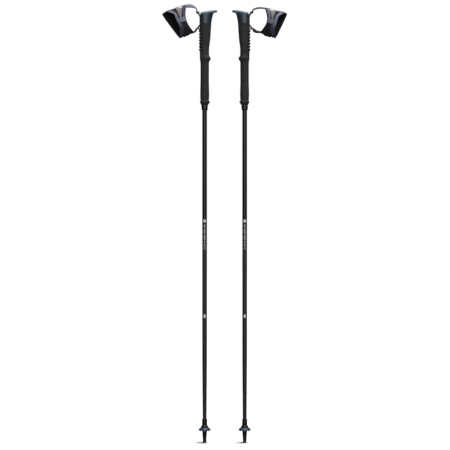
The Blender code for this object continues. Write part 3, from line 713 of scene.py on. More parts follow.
@dataclass(frozen=True)
class Laminate(Finish):
    """Carbon cloth under clear lacquer: a twill of 2 mm tows, seen as faint diagonals.

    Fields:
        tow_mm: width of a tow.
    """

    tow_mm: float = 2.0

    def relief(
        self, tree: bpy.types.NodeTree, place: bpy.types.NodeSocket
    ) -> bpy.types.NodeSocket:
        """A triangle wave of the sum of both pattern coordinates, two tows to each wave."""
        pattern = add_node(tree, "ShaderNodeUVMap", {"uv_map": UV_NAME}).outputs["UV"]
        parts = add_node(tree, "ShaderNodeSeparateXYZ", {}, {"Vector": pattern})
        total = add_node(
            tree, "ShaderNodeMath", {"operation": "ADD"},
            {0: parts.outputs[0], 1: parts.outputs[1]},
        )
        return add_node(
            tree, "ShaderNodeMath", {"operation": "PINGPONG", 1: 1.0},
            {0: add_node(
                tree, "ShaderNodeMath", {"operation": "DIVIDE", 1: self.tow_mm * MM},
                {0: total.outputs[0]},
            ).outputs[0]},
        ).outputs[0]


class Finishes:
    """Every finish of the pair, named for its real material."""

    # Filament-wound carbon tube, polished and lacquered: near black, a sharp line of light.
    lacquered_carbon = Laminate(
        "lacquered carbon twill", "07080A", "0D0F12", 0.46, 0.03, 0.08, 20.0, 0.0015
    )
    # The same tube left satin below the grip's length: dark grey, a wide soft line of light.
    satin_carbon = Laminate(
        "satin carbon twill", "28292C", "222326", 0.55, 0.05, 0.08, 30.0, 0.004
    )
    # Marks printed on the tube in pale ink.
    pale_print = Finish("pad-printed ink", "F4F6FA", "B4B8BE", 0.5, 0.05, 0.1, 3.0, 0.003)
    # Polyamide moulded in a polished tool: black, wet-looking, slightly wavy.
    gloss_polyamide = Finish(
        "polished polyamide", "0E1216", "06080A", 0.38, 0.05, 0.12, 9.0, 0.01, coat=0.05
    )
    # The head's rubbery skin over polyamide: blue-black, with a broad soft highlight.
    head_polyamide = Finish(
        "soft-touch polyamide", "2C3844", "111820", 0.42, 0.05, 0.15, 12.0, 0.012
    )
    # Polyamide with steel-blue soft-touch paint; its sides and underside are darker as painted
    # shade, and it darkens towards the beak.
    painted_polyamide = Finish(
        "painted polyamide", "7E97A7", "39566A", 0.42, 0.06, 0.10, 5.0, 0.012, coat=0.1
    )
    # The button, through-coloured navy.
    navy_polyamide = Finish(
        "navy polyamide", "1C2F42", "0C1824", 0.42, 0.05, 0.10, 4.0, 0.02
    )
    # Black polyamide from an eroded tool: a fine even grain, half matt.
    grained_polyamide = Finish(
        "grained polyamide", "0E0F11", "060607", 0.48, 0.06, 0.15, 4.0, 0.03
    )
    # Glass-filled polyamide, blue-grey, with faint flow marks; darker in the basket's scallops as
    # painted shade.
    filled_polyamide = Finish(
        "glass-filled polyamide", "33475A", "121B24", 0.42, 0.08, 0.25, 5.0, 0.03, coat=0.1
    )
    # Closed-cell foam: dark grey, matt; its near-black second colour is painted shade on the ridged
    # rear.
    cut_foam = Foam(
        "cut EVA foam", "303133", "070809", 0.82, 0.06, 0.10, 9.0, 0.04
    )
    # Natural rubber, vulcanised: black with a greyish bloom.
    rubber = Finish("vulcanised rubber", "0F1011", "070708", 0.66, 0.08, 0.25, 5.0, 0.04)
    # Bright steel wire and plate.
    steel = Finish(
        "drawn steel", "A9ABAD", "7F8285", 0.32, 0.06, 0.15, 3.0, 0.01, metallic=1.0
    )
    # Polyester webbing in lavender slate: ribs across it, drawn 1.6 mm apart to show.
    lavender_webbing = Cloth(
        "lavender webbing", "77788F", "2A2A3E", 0.82, 0.05, 0.12, 5.0, 0.14, sheen=0.15,
        warp_mm=1.6, weft_mm=1.6,
    )
    # The same webbing in a deeper slate, used on edges and lower panels.
    slate_webbing = Cloth(
        "slate webbing", "494A60", "121219", 0.82, 0.05, 0.12, 5.0, 0.14, sheen=0.12,
        warp_mm=1.6, weft_mm=1.6,
    )
    # The darkest slate, of the left cuff's strip of holes, where it is painted shade, and the right
    # strap's tape.
    deep_webbing = Cloth(
        "deep slate webbing", "36364B", "121219", 0.82, 0.05, 0.12, 5.0, 0.14, sheen=0.10,
        warp_mm=1.6, weft_mm=1.6,
    )
    # Black webbing of the lower band.
    black_webbing = Cloth(
        "black webbing", "0E0E13", "060608", 0.85, 0.05, 0.15, 5.0, 0.16, sheen=0.08,
        warp_mm=1.6, weft_mm=1.6,
    )
    # Padded spacer knit of the cuff: black, with holes drawn 2.6 mm apart; its paler second colour
    # is a painted highlight on the folds' crests at the front.
    spacer_knit = Knit(
        "black spacer knit", "08080C", "404046", 0.90, 0.05, 0.04, 12.0, 0.30, sheen=0.02,
        hole_mm=2.6,
    )
    # Brushed nylon of the closure tab: a short nap, warm grey.
    brushed_nylon = Cloth(
        "brushed taupe nylon", "8B8583", "5A5656", 0.92, 0.04, 0.25, 3.0, 0.10, sheen=0.25,
        warp_mm=1.2, weft_mm=1.2,
    )
    # A plain woven label, off-white.
    label_cloth = Cloth(
        "woven label", "D6D5DA", "A9A8B2", 0.8, 0.05, 0.15, 3.0, 0.05, sheen=0.1,
        warp_mm=1.0, weft_mm=1.0,
    )
    # Bonded sewing thread.
    thread = Finish("bonded thread", "A2A3BC", "6A6B84", 0.7, 0.05, 0.1, 2.0, 0.02, sheen=0.1)
    dark_thread = Finish(
        "dark bonded thread", "3A3A4C", "1A1A24", 0.7, 0.05, 0.1, 2.0, 0.02, sheen=0.1
    )


# ---------------------------------------------------------------- placing pieces


@dataclass(frozen=True)
class Pole:
    """One pole of the pair: where its axis stands, and how its pieces join the scene.

    Fields:
        side: left or right.
        axis: X of the shaft's axis in the row frame, in metres.
    """

    side: Side
    axis: float

    @staticmethod
    def of(side: Side) -> "Pole":
        """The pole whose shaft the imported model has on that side."""
        low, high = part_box(f"{side.value}_shaft")
        return Pole(side, (low.x + high.x) / 2)

    def node(self, piece: str) -> str:
        """The CAD node of that piece."""
        return f"{self.side.value}_{piece}"

    def make(
        self, piece: str, shape: Shape, finishes: list[Finish], body: str,
        replaces: tuple[str, ...] = (), crease: float = 40.0,
    ) -> bpy.types.Object:
        """Makes a finished piece.

        A point (x, y, z) in the pole's frame goes to (axis + sign x, y, z). Doubles are merged
        and the faces turned outwards, since the left pole is a mirror image.

        Args:
            piece: the piece's name without its side.
            shape: its mesh, in millimetres.
            finishes: its materials, in the order that the shape's patches count them.
            body: the CAD body that it rides on, without its side.
            replaces: the CAD nodes that it stands for, without their side.
            crease: degrees between faces past which an edge is sharp.

        Returns:
            The object.
        """
        points = shape.points * MM
        points = np.stack(
            [self.axis + self.side.sign * points[:, 0], points[:, 1], points[:, 2]], axis=1
        )
        faces = shape.quads.tolist() + shape.triangles.tolist()
        mesh = bpy.data.meshes.new(self.node(piece))
        mesh.from_pydata(points.tolist(), [], faces)
        uv = np.concatenate(
            [shape.quad_uv.reshape(-1, 2) * MM, np.zeros((3 * len(shape.triangles), 2))]
        )
        layer = mesh.uv_layers.new(name=UV_NAME)
        layer.uv.foreach_set("vector", uv.astype(np.float32).ravel())
        tint = mesh.attributes.new(TINT_NAME, "FLOAT", "POINT")
        tint.data.foreach_set("value", shape.tint.astype(np.float32))
        patch = np.concatenate([shape.patch, np.zeros(len(shape.triangles), int)])
        for finish in finishes:
            mesh.materials.append(finish.material())
        mesh.polygons.foreach_set("material_index", patch.astype(np.int32))
        self.turn_outwards(mesh)
        mesh.polygons.foreach_set("use_smooth", np.ones(len(mesh.polygons), bool))
        mesh.set_sharp_from_angle(angle=math.radians(crease))
        made = bpy.data.objects.new(self.node(piece) + "_visual", mesh)
        bpy.context.scene.collection.objects.link(made)
        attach(made, self.node(body))
        if replaces:
            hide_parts(*[self.node(name) for name in replaces])
        LOG.info("%s: %d faces", made.name, len(mesh.polygons))
        return made

    @staticmethod
    def turn_outwards(mesh: bpy.types.Mesh) -> None:
        """Merges doubles and turns every closed shell's faces outwards."""
        work = bmesh.new()
        work.from_mesh(mesh)
        bmesh.ops.remove_doubles(work, verts=work.verts, dist=1e-6)
        bmesh.ops.recalc_face_normals(work, faces=work.faces)
        work.to_mesh(mesh)
        work.free()
        mesh.update()


# ---------------------------------------------------------------- shaft


@dataclass
class Shaft:
    """The carbon tube: lacquered above, satin below, with plain printed marks.

    Sizes in millimetres.
    """

    radius: float = 6.6
    foot_radius: float = 5.3
    taper_top: float = 230.0
    foot: float = 53.0
    top: float = 1150.0
    finish_change: float = 617.0
    sides: int = 64

    def radius_at(self, z: Array) -> Array:
        """Radius at a height: straight, then a straight taper down to the foot."""
        t = np.clip((z - self.foot) / (self.taper_top - self.foot), 0, 1)
        return self.foot_radius + t * (self.radius - self.foot_radius)

    def tube(self) -> Shape:
        """The tube's outside, with a patch index that changes at the finish's line."""
        lower = np.linspace(self.foot, self.finish_change, 60)
        upper = np.linspace(self.finish_change, self.top, 40)[1:]
        z = np.concatenate([lower, upper])
        body = turned(np.stack([self.radius_at(z), z], axis=1), self.sides)
        height = body.points[body.quads].mean(axis=1)[:, 2]
        body.patch = (height > self.finish_change).astype(int)
        return body

    def printed_patch(
        self, low: float, high: float, half: float, power: float = 6.0, tint: float = 1.0
    ) -> Shape:
        """A thin printed film on the tube's front.

        Its width follows a superellipse along its height: a disc at a power of 2, and a bar
        with rounded ends at a high one.

        Args:
            low: its lowest height.
            high: its highest height.
            half: half its width, in millimetres round the tube.
            power: the superellipse's power.
            tint: its tint.

        Returns:
            The film.
        """
        t = np.sin(np.linspace(-np.pi / 2, np.pi / 2, 25))
        z = (low + high) / 2 + t * (high - low) / 2
        share = np.maximum(1 - np.abs(t) ** power, 0.01) ** (1 / 2)
        across = np.linspace(-1, 1, 11)
        radius = self.radius_at(z)[:, None]
        angle = -np.pi / 2 + across * share[:, None] * half / radius

        def grid(out: float) -> Array:
            """The film's points at a distance from the tube."""
            r = radius + out
            return stacked(r * np.cos(angle), r * np.sin(angle), z[:, None])

        return slab(grid(0.06), grid(-0.2), tint)

    def printed_loop(self, z: float, half_width: float, half_height: float, stroke: float) -> Shape:
        """A thin printed outline: a flat section carried round an ellipse on the tube's front.

        Args:
            z: height of its middle.
            half_width: half its width round the tube.
            half_height: half its height.
            stroke: width of its line.

        Returns:
            The outline.
        """
        turn = around(48)[:, None]
        inset = np.array([[0.0, stroke, stroke, 0.0]])
        height = z + (half_height - inset) * np.sin(turn)
        radius = self.radius_at(height)
        angle = -np.pi / 2 + (half_width - inset) * np.cos(turn) / radius
        r = radius + np.array([[0.06, 0.06, -0.2, -0.2]])
        return tube(np.stack([r * np.cos(angle), r * np.sin(angle), height], axis=-1), 1.0,
                    wrap=True)

    def build(self, pole: Pole) -> None:
        """Makes the tube and its marks."""
        pole.make(
            "shaft", self.tube(), [Finishes.satin_carbon, Finishes.lacquered_carbon], "pole",
            ("shaft",),
        )
        bars = ((596.5, 605.0), (578.5, 594.5), (560.5, 576.5), (553.5, 558.5), (545.5, 551.5))
        marks = Shape.joined([self.printed_patch(*ends, 1.8) for ends in bars] + [
            self.printed_patch(610.3, 618.9, 4.3, power=2.0, tint=0.0),
            self.printed_loop(539.5, 3.0, 4.6, 1.0),
            self.printed_patch(346.0, 356.5, 3.3, power=2.0, tint=0.0),
        ])
        pole.make("shaft_marks", marks, [Finishes.pale_print], "pole")


# ---------------------------------------------------------------- grip


@dataclass
class Grip:
    """The moulded head, the foam grip with its finger ridges, and the foam under it.

    Sizes in millimetres; a drop is a distance down from the cap's highest point.
    """

    knots: tuple[float, ...] = (6, 14, 29, 56, 84, 112, 124, 146, 200, 247, 264)
    sections: tuple[tuple[float, float, float], ...] = (
        # front, rear, half width
        (28.0, 13.6, 14.2), (24.6, 14.0, 13.6), (19.8, 14.6, 13.2), (17.6, 14.2, 13.0),
        (15.5, 14.0, 13.0), (12.4, 13.8, 12.4), (12.6, 13.4, 12.2), (12.3, 11.9, 12.0),
        (12.0, 11.6, 11.8), (12.3, 11.8, 12.0), (10.6, 10.2, 10.4),
    )
    head_seam_drop: float = 39.0
    seam_slope: float = 0.20
    cap_base_drop: float = 13.8
    cap_slope: float = 0.20
    upper_ring: tuple[float, float, float] = (135.5, 3.3, 10.5)  # drop, height, reach
    lower_ring: tuple[float, float, float] = (256.5, 2.6, 6.0)
    foam_seam_drop: float = 145.0
    foam_end_drop: float = 264.0
    ridge_first_drop: float = 60.0
    ridge_pitch: float = 8.45
    ridge_count: int = 7
    ridge_height: float = 2.0
    ridge_valley: float = 1.7
    groove_half_width: float = 4.0
    groove_floor: float = 10.2
    groove_bottom_drop: float = 54.4
    sides: int = 104
    floor_columns: int = 8
    seam_rounding: float = 0.8

    def seam(self, x: Array) -> Array:
        """Height of the seam under the head, which rises towards the rear."""
        return TOP - self.head_seam_drop + self.seam_slope * x

    def cap_plane(self, x: Array) -> Array:
        """Height of the cap's base."""
        return TOP - self.cap_base_drop - self.cap_slope * x

    def ridges(self, drop: Array) -> Array:
        """Height of the finger ridges at a drop: round lobes with flat valleys between."""
        phase = (drop - self.ridge_first_drop) / self.ridge_pitch
        place = np.clip(np.round(phase), 0, self.ridge_count - 1)
        return np.sqrt(np.maximum(0, 1 - ((phase - place) / 0.43) ** 2))

    def in_ridges(self, drop: Array) -> Array:
        """1 between the first and the last ridge, fading out beyond them."""
        first = self.ridge_first_drop
        last = first + (self.ridge_count - 1) * self.ridge_pitch
        return smooth_step(drop, first - 2.5, first) * (1 - smooth_step(drop, last, last + 2.5))

    def outline(self, drop: Array, angle: Array, inset: Array) -> tuple[Array, Array]:
        """Plan of the grip at each drop.

        Half an ellipse in front and half an ellipse behind, with the rings' and the ridges'
        swelling added along the angle.

        Args:
            drop: (rows, 1) drops.
            angle: (rows or 1, columns) angles from the rear.
            inset: (rows, 1) distances taken off, for rounded ends.

        Returns:
            x and y, (rows, columns) each.
        """
        front, rear, half = np.moveaxis(smooth_table(drop, self.knots, self.sections), -1, 0)
        c, s = np.cos(angle), np.sin(angle)
        upper = self.upper_ring[1] * bump(drop - self.upper_ring[0], self.upper_ring[2])
        lower = self.lower_ring[1] * bump(drop - self.lower_ring[0], self.lower_ring[2])
        swell = upper * (0.8 - 0.6 * c) + lower * (1 - 0.25 * c) - inset
        lobe = self.ridges(drop)
        cut = self.ridge_valley * (1 - lobe) * self.in_ridges(drop)
        swell = swell + (self.ridge_height * lobe - cut) * np.maximum(0, c) ** 2
        return np.where(c > 0, rear, front) * c + swell * c, half * s + swell * s

    def rings(self, drop: Array, inset: Array, grooved: Array) -> tuple[Array, Array]:
        """Plan with the rail's groove cut in the rear of the grooved rows.

        Args:
            drop: (rows,) drops.
            inset: (rows,) distances taken off.
            grooved: (rows,) whether the groove is there.

        Returns:
            x and y, (rows, columns) each, with the groove's columns last.
        """
        drop, inset, cut = drop[:, None], inset[:, None], grooved[:, None]
        half = smooth_table(drop, self.knots, self.sections)[..., 2]
        edge = np.arcsin(self.groove_half_width / half)
        share = np.linspace(0, 1, self.sides)
        angle = edge + share * (2 * np.pi - 2 * edge)
        x, y = self.outline(drop, angle, inset)
        y[:, 0], y[:, -1] = self.groove_half_width, -self.groove_half_width
        across = np.linspace(-1, 1, self.floor_columns)
        shut_x, shut_y = self.outline(drop, across * edge, inset)
        floor_y = across * self.groove_half_width + 0 * drop
        back_x = np.where(cut, self.groove_floor, shut_x)
        back_y = np.where(cut, floor_y, np.clip(shut_y, -3.98, 3.98))
        return np.concatenate([x, back_x], axis=1), np.concatenate([y, back_y], axis=1)

    def head(self) -> Shape:
        """The head: from the seam to just under the cap, both tilted planes."""
        t = np.concatenate([np.linspace(0, 0.035, 6), np.linspace(0.035, 0.985, 44)[1:],
                            np.linspace(0.985, 1, 4)[1:]])
        drop = self.head_seam_drop + t * (self.cap_base_drop - self.head_seam_drop)
        inset = rounded_end(t * 25.0, self.seam_rounding)
        x, y = self.rings(drop, inset, np.ones(len(t), bool))
        low, high = self.seam(x), self.cap_plane(x) - SEAM_GAP
        z = low + t[:, None] * (high - low)
        return tube(np.stack([x, y, z], axis=-1))

    def foam(self) -> Shape:
        """The foam grip: level rows below, tilted to the head's seam in its last stretch."""
        level_drop = 56.0
        low = self.foam_seam_drop - GAP
        below = np.concatenate([
            low - np.linspace(0, 1.0, 6), np.arange(low - 1.6, 125.5, -0.7),
            np.arange(125.0, level_drop, -0.42), [level_drop],
        ])
        above = np.concatenate([
            np.linspace(level_drop, self.groove_bottom_drop, 4)[1:],
            np.linspace(self.groove_bottom_drop, self.head_seam_drop + 0.9, 22),
            np.linspace(self.head_seam_drop + 0.9, self.head_seam_drop, 6)[1:],
        ])
        drop = np.concatenate([below, above])
        grooved = np.arange(len(drop)) >= len(below) + 3
        from_end = np.minimum(low - drop, drop - self.head_seam_drop)
        x, y = self.rings(drop, rounded_end(from_end, self.seam_rounding), grooved)
        level = TOP - drop[:, None]
        share = np.clip((drop - self.head_seam_drop) / (level_drop - self.head_seam_drop), 0, 1)
        top = self.seam(x) - SEAM_GAP
        z = np.where(drop[:, None] < level_drop, top + share[:, None] * (TOP - level_drop - top),
                     level)
        # Painted shade: the rear of the ridged stretch, most of all the valleys between ridges, is
        # tinted towards the near-black second colour.
        rear = smooth_step(x, 5.0, 10.5)
        valley = 1 - self.ridges(drop)[:, None]
        tint = np.clip(rear * self.in_ridges(drop)[:, None] * (0.45 + 0.8 * valley), 0, 1)
        return tube(np.stack([x, y, z], axis=-1), tint)

    def lower_foam(self) -> Shape:
        """The plain foam below the upper ring, ending in the lower ring and a narrow foot."""
        low, high = self.foam_end_drop, self.foam_seam_drop
        drop = np.concatenate([
            low - np.linspace(0, 0.9, 6), np.arange(low - 1.5, 248.0, -0.6),
            np.arange(247.0, high + 1.2, -1.5), high + np.linspace(0.9, 0, 5),
        ])
        inset = rounded_end(np.minimum(low - drop, drop - high), 0.7)
        x, y = self.outline(drop[:, None], around(self.sides)[None], inset[:, None])
        z = TOP - drop[:, None] + 0 * x
        return tube(np.stack([x, y, z], axis=-1))

    def collar(self) -> Shape:
        """The black collar under the foam: a lip, a waist and a rounded foot."""
        top = TOP - self.foam_end_drop - GAP
        return turned(rounded_profile([
            (6.4, top - 14.0, 0), (7.6, top - 14.0, 0.3), (8.8, top - 12.8, 1.0),
            (8.8, top - 10.2, 0.3), (8.45, top - 9.8, 0.2), (8.45, top - 8.9, 0.2),
            (8.8, top - 8.5, 0.3), (8.8, top - 0.4, 0.4), (8.4, top, 0.2), (6.4, top, 0),
        ]))

    def build(self, pole: Pole) -> None:
        """Makes the head, both foams and the collar."""
        pole.make("grip_head", self.head(), [Finishes.head_polyamide], "pole",
                  ("grip_head",))
        foam = pole.make("grip_foam", self.foam(), [Finishes.cut_foam], "pole",
                         ("grip_foam",))
        lower = pole.make("extension_foam", self.lower_foam(), [Finishes.cut_foam], "pole",
                          ("extension_foam",))
        pole.make("foam_collar", self.collar(), [Finishes.gloss_polyamide], "pole",
                  ("foam_collar",))


# ---------------------------------------------------------------- cap and button


@dataclass
class Cap:
    """The painted cap with its beak, and the release button in a well through it.

    Sizes in millimetres.
    """

    rear: float = 13.6
    beak: float = 35.0
    half_width: float = 14.6
    thickness: float = 8.6
    beak_taper: float = 0.45
    base_drop: float = 13.8
    slope: float = 0.20
    button_front: float = 4.4
    button_rear: float = 10.0
    button_half_width: float = 4.2
    button_top_drop: float = 6.6
    clearance: float = 0.35
    columns: int = 120

    @property
    def middle(self) -> float:
        """x of the middle of the cap's plan, which its layers shrink towards."""
        return (self.rear - self.beak) / 2

    def plane(self, x: Array) -> Array:
        """Height of the cap's tilted base."""
        return TOP - self.base_drop - self.slope * x

    def plan(self) -> Array:
        """The plan's outline: a rounded rear, and a beak that narrows to its front."""
        angle = around(720)
        c, s = np.cos(angle), np.sin(angle)
        front = np.maximum(0, -c)
        x = c * np.where(c > 0, self.rear, self.beak)
        return np.stack([x, s * self.half_width * (1 - self.beak_taper * front**1.5)], axis=1)

    def reach(self, centre: float, angle: Array, outline: Array) -> Array:
        """Distance from (centre, 0) to an outline at each angle, by linear interpolation."""
        offset = outline - np.array([centre, 0])
        at = np.arctan2(offset[:, 1], offset[:, 0])
        order = np.argsort(at)
        far = np.linalg.norm(offset, axis=1)[order]
        turns = np.mod(angle + np.pi, 2 * np.pi) - np.pi
        return np.interp(turns, at[order], far, period=2 * np.pi)

    def dome(self, share: Array) -> Array:
        """Share of the thickness at a share of the plan: 1/4 at the rim, then a superellipse."""
        return 0.25 + 0.75 * np.sqrt(np.maximum(0, 1 - share**4))

    def shell(self) -> Shape:
        """The cap as rings round its button well.

        The rings run out over the dome to the rim, in under the base, and up the well. A
        point's height comes from its share: its distance from the plan's middle over the
        outline's there.
        """
        centre = (self.button_front + self.button_rear) / 2
        angle = around(self.columns)
        plan = self.plan()
        half = (self.button_rear - self.button_front) / 2 + self.clearance
        well = rounded_square(720, 5.0) * [half, self.button_half_width + self.clearance]
        well = well + np.array([centre, 0])
        near = self.reach(centre, angle, well)
        far = self.reach(centre, angle, plan)
        out = np.sin(np.linspace(0, np.pi / 2, 30))[:, None]
        ray = np.stack([np.cos(angle), np.sin(angle)], axis=1)

        def at(distance: Array) -> Array:
            """Plan points at those distances from the well's middle."""
            return np.array([centre, 0]) + ray * distance[..., None]

        top = at(near + out * (far - near))
        offset = top - np.array([self.middle, 0])
        outline = self.reach(self.middle, np.arctan2(offset[..., 1], offset[..., 0]), plan)
        share = np.clip(np.linalg.norm(offset, axis=-1) / outline, 0, 1)
        share[-1] = 1.0
        height = self.plane(top[..., 0]) + self.thickness * self.dome(share)
        height[0] -= 0.35
        rim = top[-1:]
        tuck = np.array([1.0, 0.995, 0.98, 0.95])[:, None, None]
        under = np.array([self.middle, 0]) + (rim - np.array([self.middle, 0])) * tuck
        lift = np.array([0.17, 0.08, 0.025, 0.0])[:, None] * self.thickness
        under_height = self.plane(under[..., 0]) + lift
        hole = at(near[None])
        hole_low = self.plane(hole[..., 0])
        wall = height[:1] - 0.5
        plan_rows = np.concatenate([top, under, hole, hole])
        z = np.concatenate([height, under_height, hole_low, wall])
        rings = np.concatenate([plan_rows, z[..., None]], axis=-1)
        # Painted shade: the rim's sides, the underside and the well are tinted darker; the beak is
        # also tinted darker towards its tip.
        side = np.concatenate([smooth_step(share, 0.94, 1.0), np.ones((6, self.columns))])
        side[-2:] = 0.3
        beak = smooth_step(-rings[..., 0], 26.0, 35.0)
        return tube(rings, np.clip(0.75 * side + 0.7 * beak, 0, 1), wrap=True)

    def button(self) -> Shape:
        """The button: superellipse rings up from the well, with a crowned, ribbed top."""
        low = self.plane(np.array(self.button_rear)) - 0.4
        top = TOP - self.button_top_drop
        middle = (self.button_front + self.button_rear) / 2
        half = np.array([(self.button_rear - self.button_front) / 2, self.button_half_width])
        section = rounded_square(72, 5.0) * half
        sink = 0.9 * (1 - np.sin(np.linspace(0, np.pi / 2, 7)))
        side = 0.9 * (1 - np.cos(np.linspace(0, np.pi / 2, 7)))
        shares = np.concatenate([[1.0, 1.0], 1 - side / half.mean(), np.linspace(0.7, 0.05, 12)])
        heights = np.concatenate([[low, top - 1.4], top - sink - 0.15, np.full(12, top - 0.15)])
        xy = section[None] * shares[:, None, None]
        x = middle + xy[..., 0]
        ribs = 0.15 * np.cos(2 * np.pi * (x - middle) / 1.9)
        on_top = (np.arange(len(shares)) >= 8)[:, None]
        z = heights[:, None] + np.where(on_top, ribs, 0)
        return tube(np.stack([x, xy[..., 1], z], axis=-1))

    def build(self, pole: Pole) -> None:
        """Makes the cap and the button."""
        pole.make("grip_cap", self.shell(), [Finishes.painted_polyamide], "pole",
                  ("grip_cap",), crease=50.0)
        pole.make("release_button", self.button(), [Finishes.navy_polyamide], "button",
                  ("release_button",))


# ---------------------------------------------------------------- hand strap


@dataclass
class StrapPlug:
    """The moulded rail that clicks into the grip, with a tongue and two eye bars.

    Sizes in millimetres.
    """

    rail: tuple[float, float] = (10.6, 14.2)
    half_width: float = 3.6
    drops: tuple[float, float] = (18.0, 54.0)
    eye_axis: float = 18.4
    bar_radius: float = 1.3
    eye_drops: tuple[float, float] = (5.0, 46.5)
    mast: tuple[float, float] = (13.9, 15.3)
    mast_half_width: float = 2.0
    eye_height: float = 4.4
    lug: float = 1.5
    lug_half_width: float = 0.9
    web_foot_drops: tuple[float, float, float] = (19.0, 38.0, 57.5)

    def eye(self, drop: float) -> tuple[float, float]:
        """Bottom and top of an eye bar's free stretch, from the drop of its upper lug."""
        top = TOP - drop - self.lug
        return top - self.eye_height, top

    def bar(self, drop: float) -> Shape:
        """An eye bar: circles between its two lugs."""
        low, high = self.eye(drop)
        angle = around(24)
        z = np.array([low - self.lug / 2, high + self.lug / 2])[:, None]
        radius = self.bar_radius
        return tube(stacked(self.eye_axis + radius * np.cos(angle), radius * np.sin(angle), z))

    def lugs(self, drop: float) -> list[Shape]:
        """The two lugs that hold an eye bar."""
        low, high = self.eye(drop)
        return [
            block([self.mast[0] + 0.1, -self.lug_half_width, bottom],
                  [self.eye_axis + self.bar_radius, self.lug_half_width, bottom + self.lug],
                  rounding=0.5, axis=0)
            for bottom in (low - self.lug, high)
        ]

    def gusset(self, high: float, low: float) -> Shape:
        """A web that stiffens a lug: a thin wedge from the lug's face down or up to the rail.

        Args:
            high: its height at the lug.
            low: its height at the rail.

        Returns:
            The web.
        """
        near, far = self.rail[1] - 0.3, self.eye_axis + self.bar_radius
        t = np.linspace(0, 1, 13)
        reach = near + (far - near) * (1 - t) ** 1.6
        z = high + (low - high) * t
        corners = np.array([[0.0, -1.0], [1.0, -1.0], [1.0, 1.0], [0.0, 1.0]])
        x = near - 0.4 + (reach[:, None] - near + 0.4) * corners[None, :, 0]
        y = 0.9 * corners[None, :, 1] + 0 * x
        return tube(np.stack([x, y, z[:, None] + 0 * x], axis=-1))

    def build(self, pole: Pole) -> None:
        """Makes the plug as one piece."""
        rail = block([self.rail[0], -self.half_width, TOP - self.drops[1]],
                     [self.rail[1], self.half_width, TOP - self.drops[0]], rounding=1.2)
        tongue = block([2.4, -2.8, TOP - 26.4], [self.rail[0] + 1.0, 2.8, TOP - 22.0],
                       rounding=0.8, axis=0)
        mast = block([self.mast[0], -self.mast_half_width, TOP - self.drops[0] - 1.0],
                     [self.mast[1], self.mast_half_width, TOP - self.eye_drops[0]], rounding=0.5)
        parts = [rail, tongue, mast]
        for drop in self.eye_drops:
            parts += self.lugs(drop) + [self.bar(drop)]
        webs = self.web_foot_drops
        parts.append(self.gusset(self.eye(self.eye_drops[0])[0] - self.lug + 0.2, TOP - webs[0]))
        parts.append(self.gusset(TOP - self.eye_drops[1] - 0.2, TOP - webs[1]))
        parts.append(self.gusset(self.eye(self.eye_drops[1])[0] - self.lug + 0.2, TOP - webs[2]))
        pole.make("strap_plug", Shape.joined(parts), [Finishes.grained_polyamide], "plug",
                  ("strap_plug",))


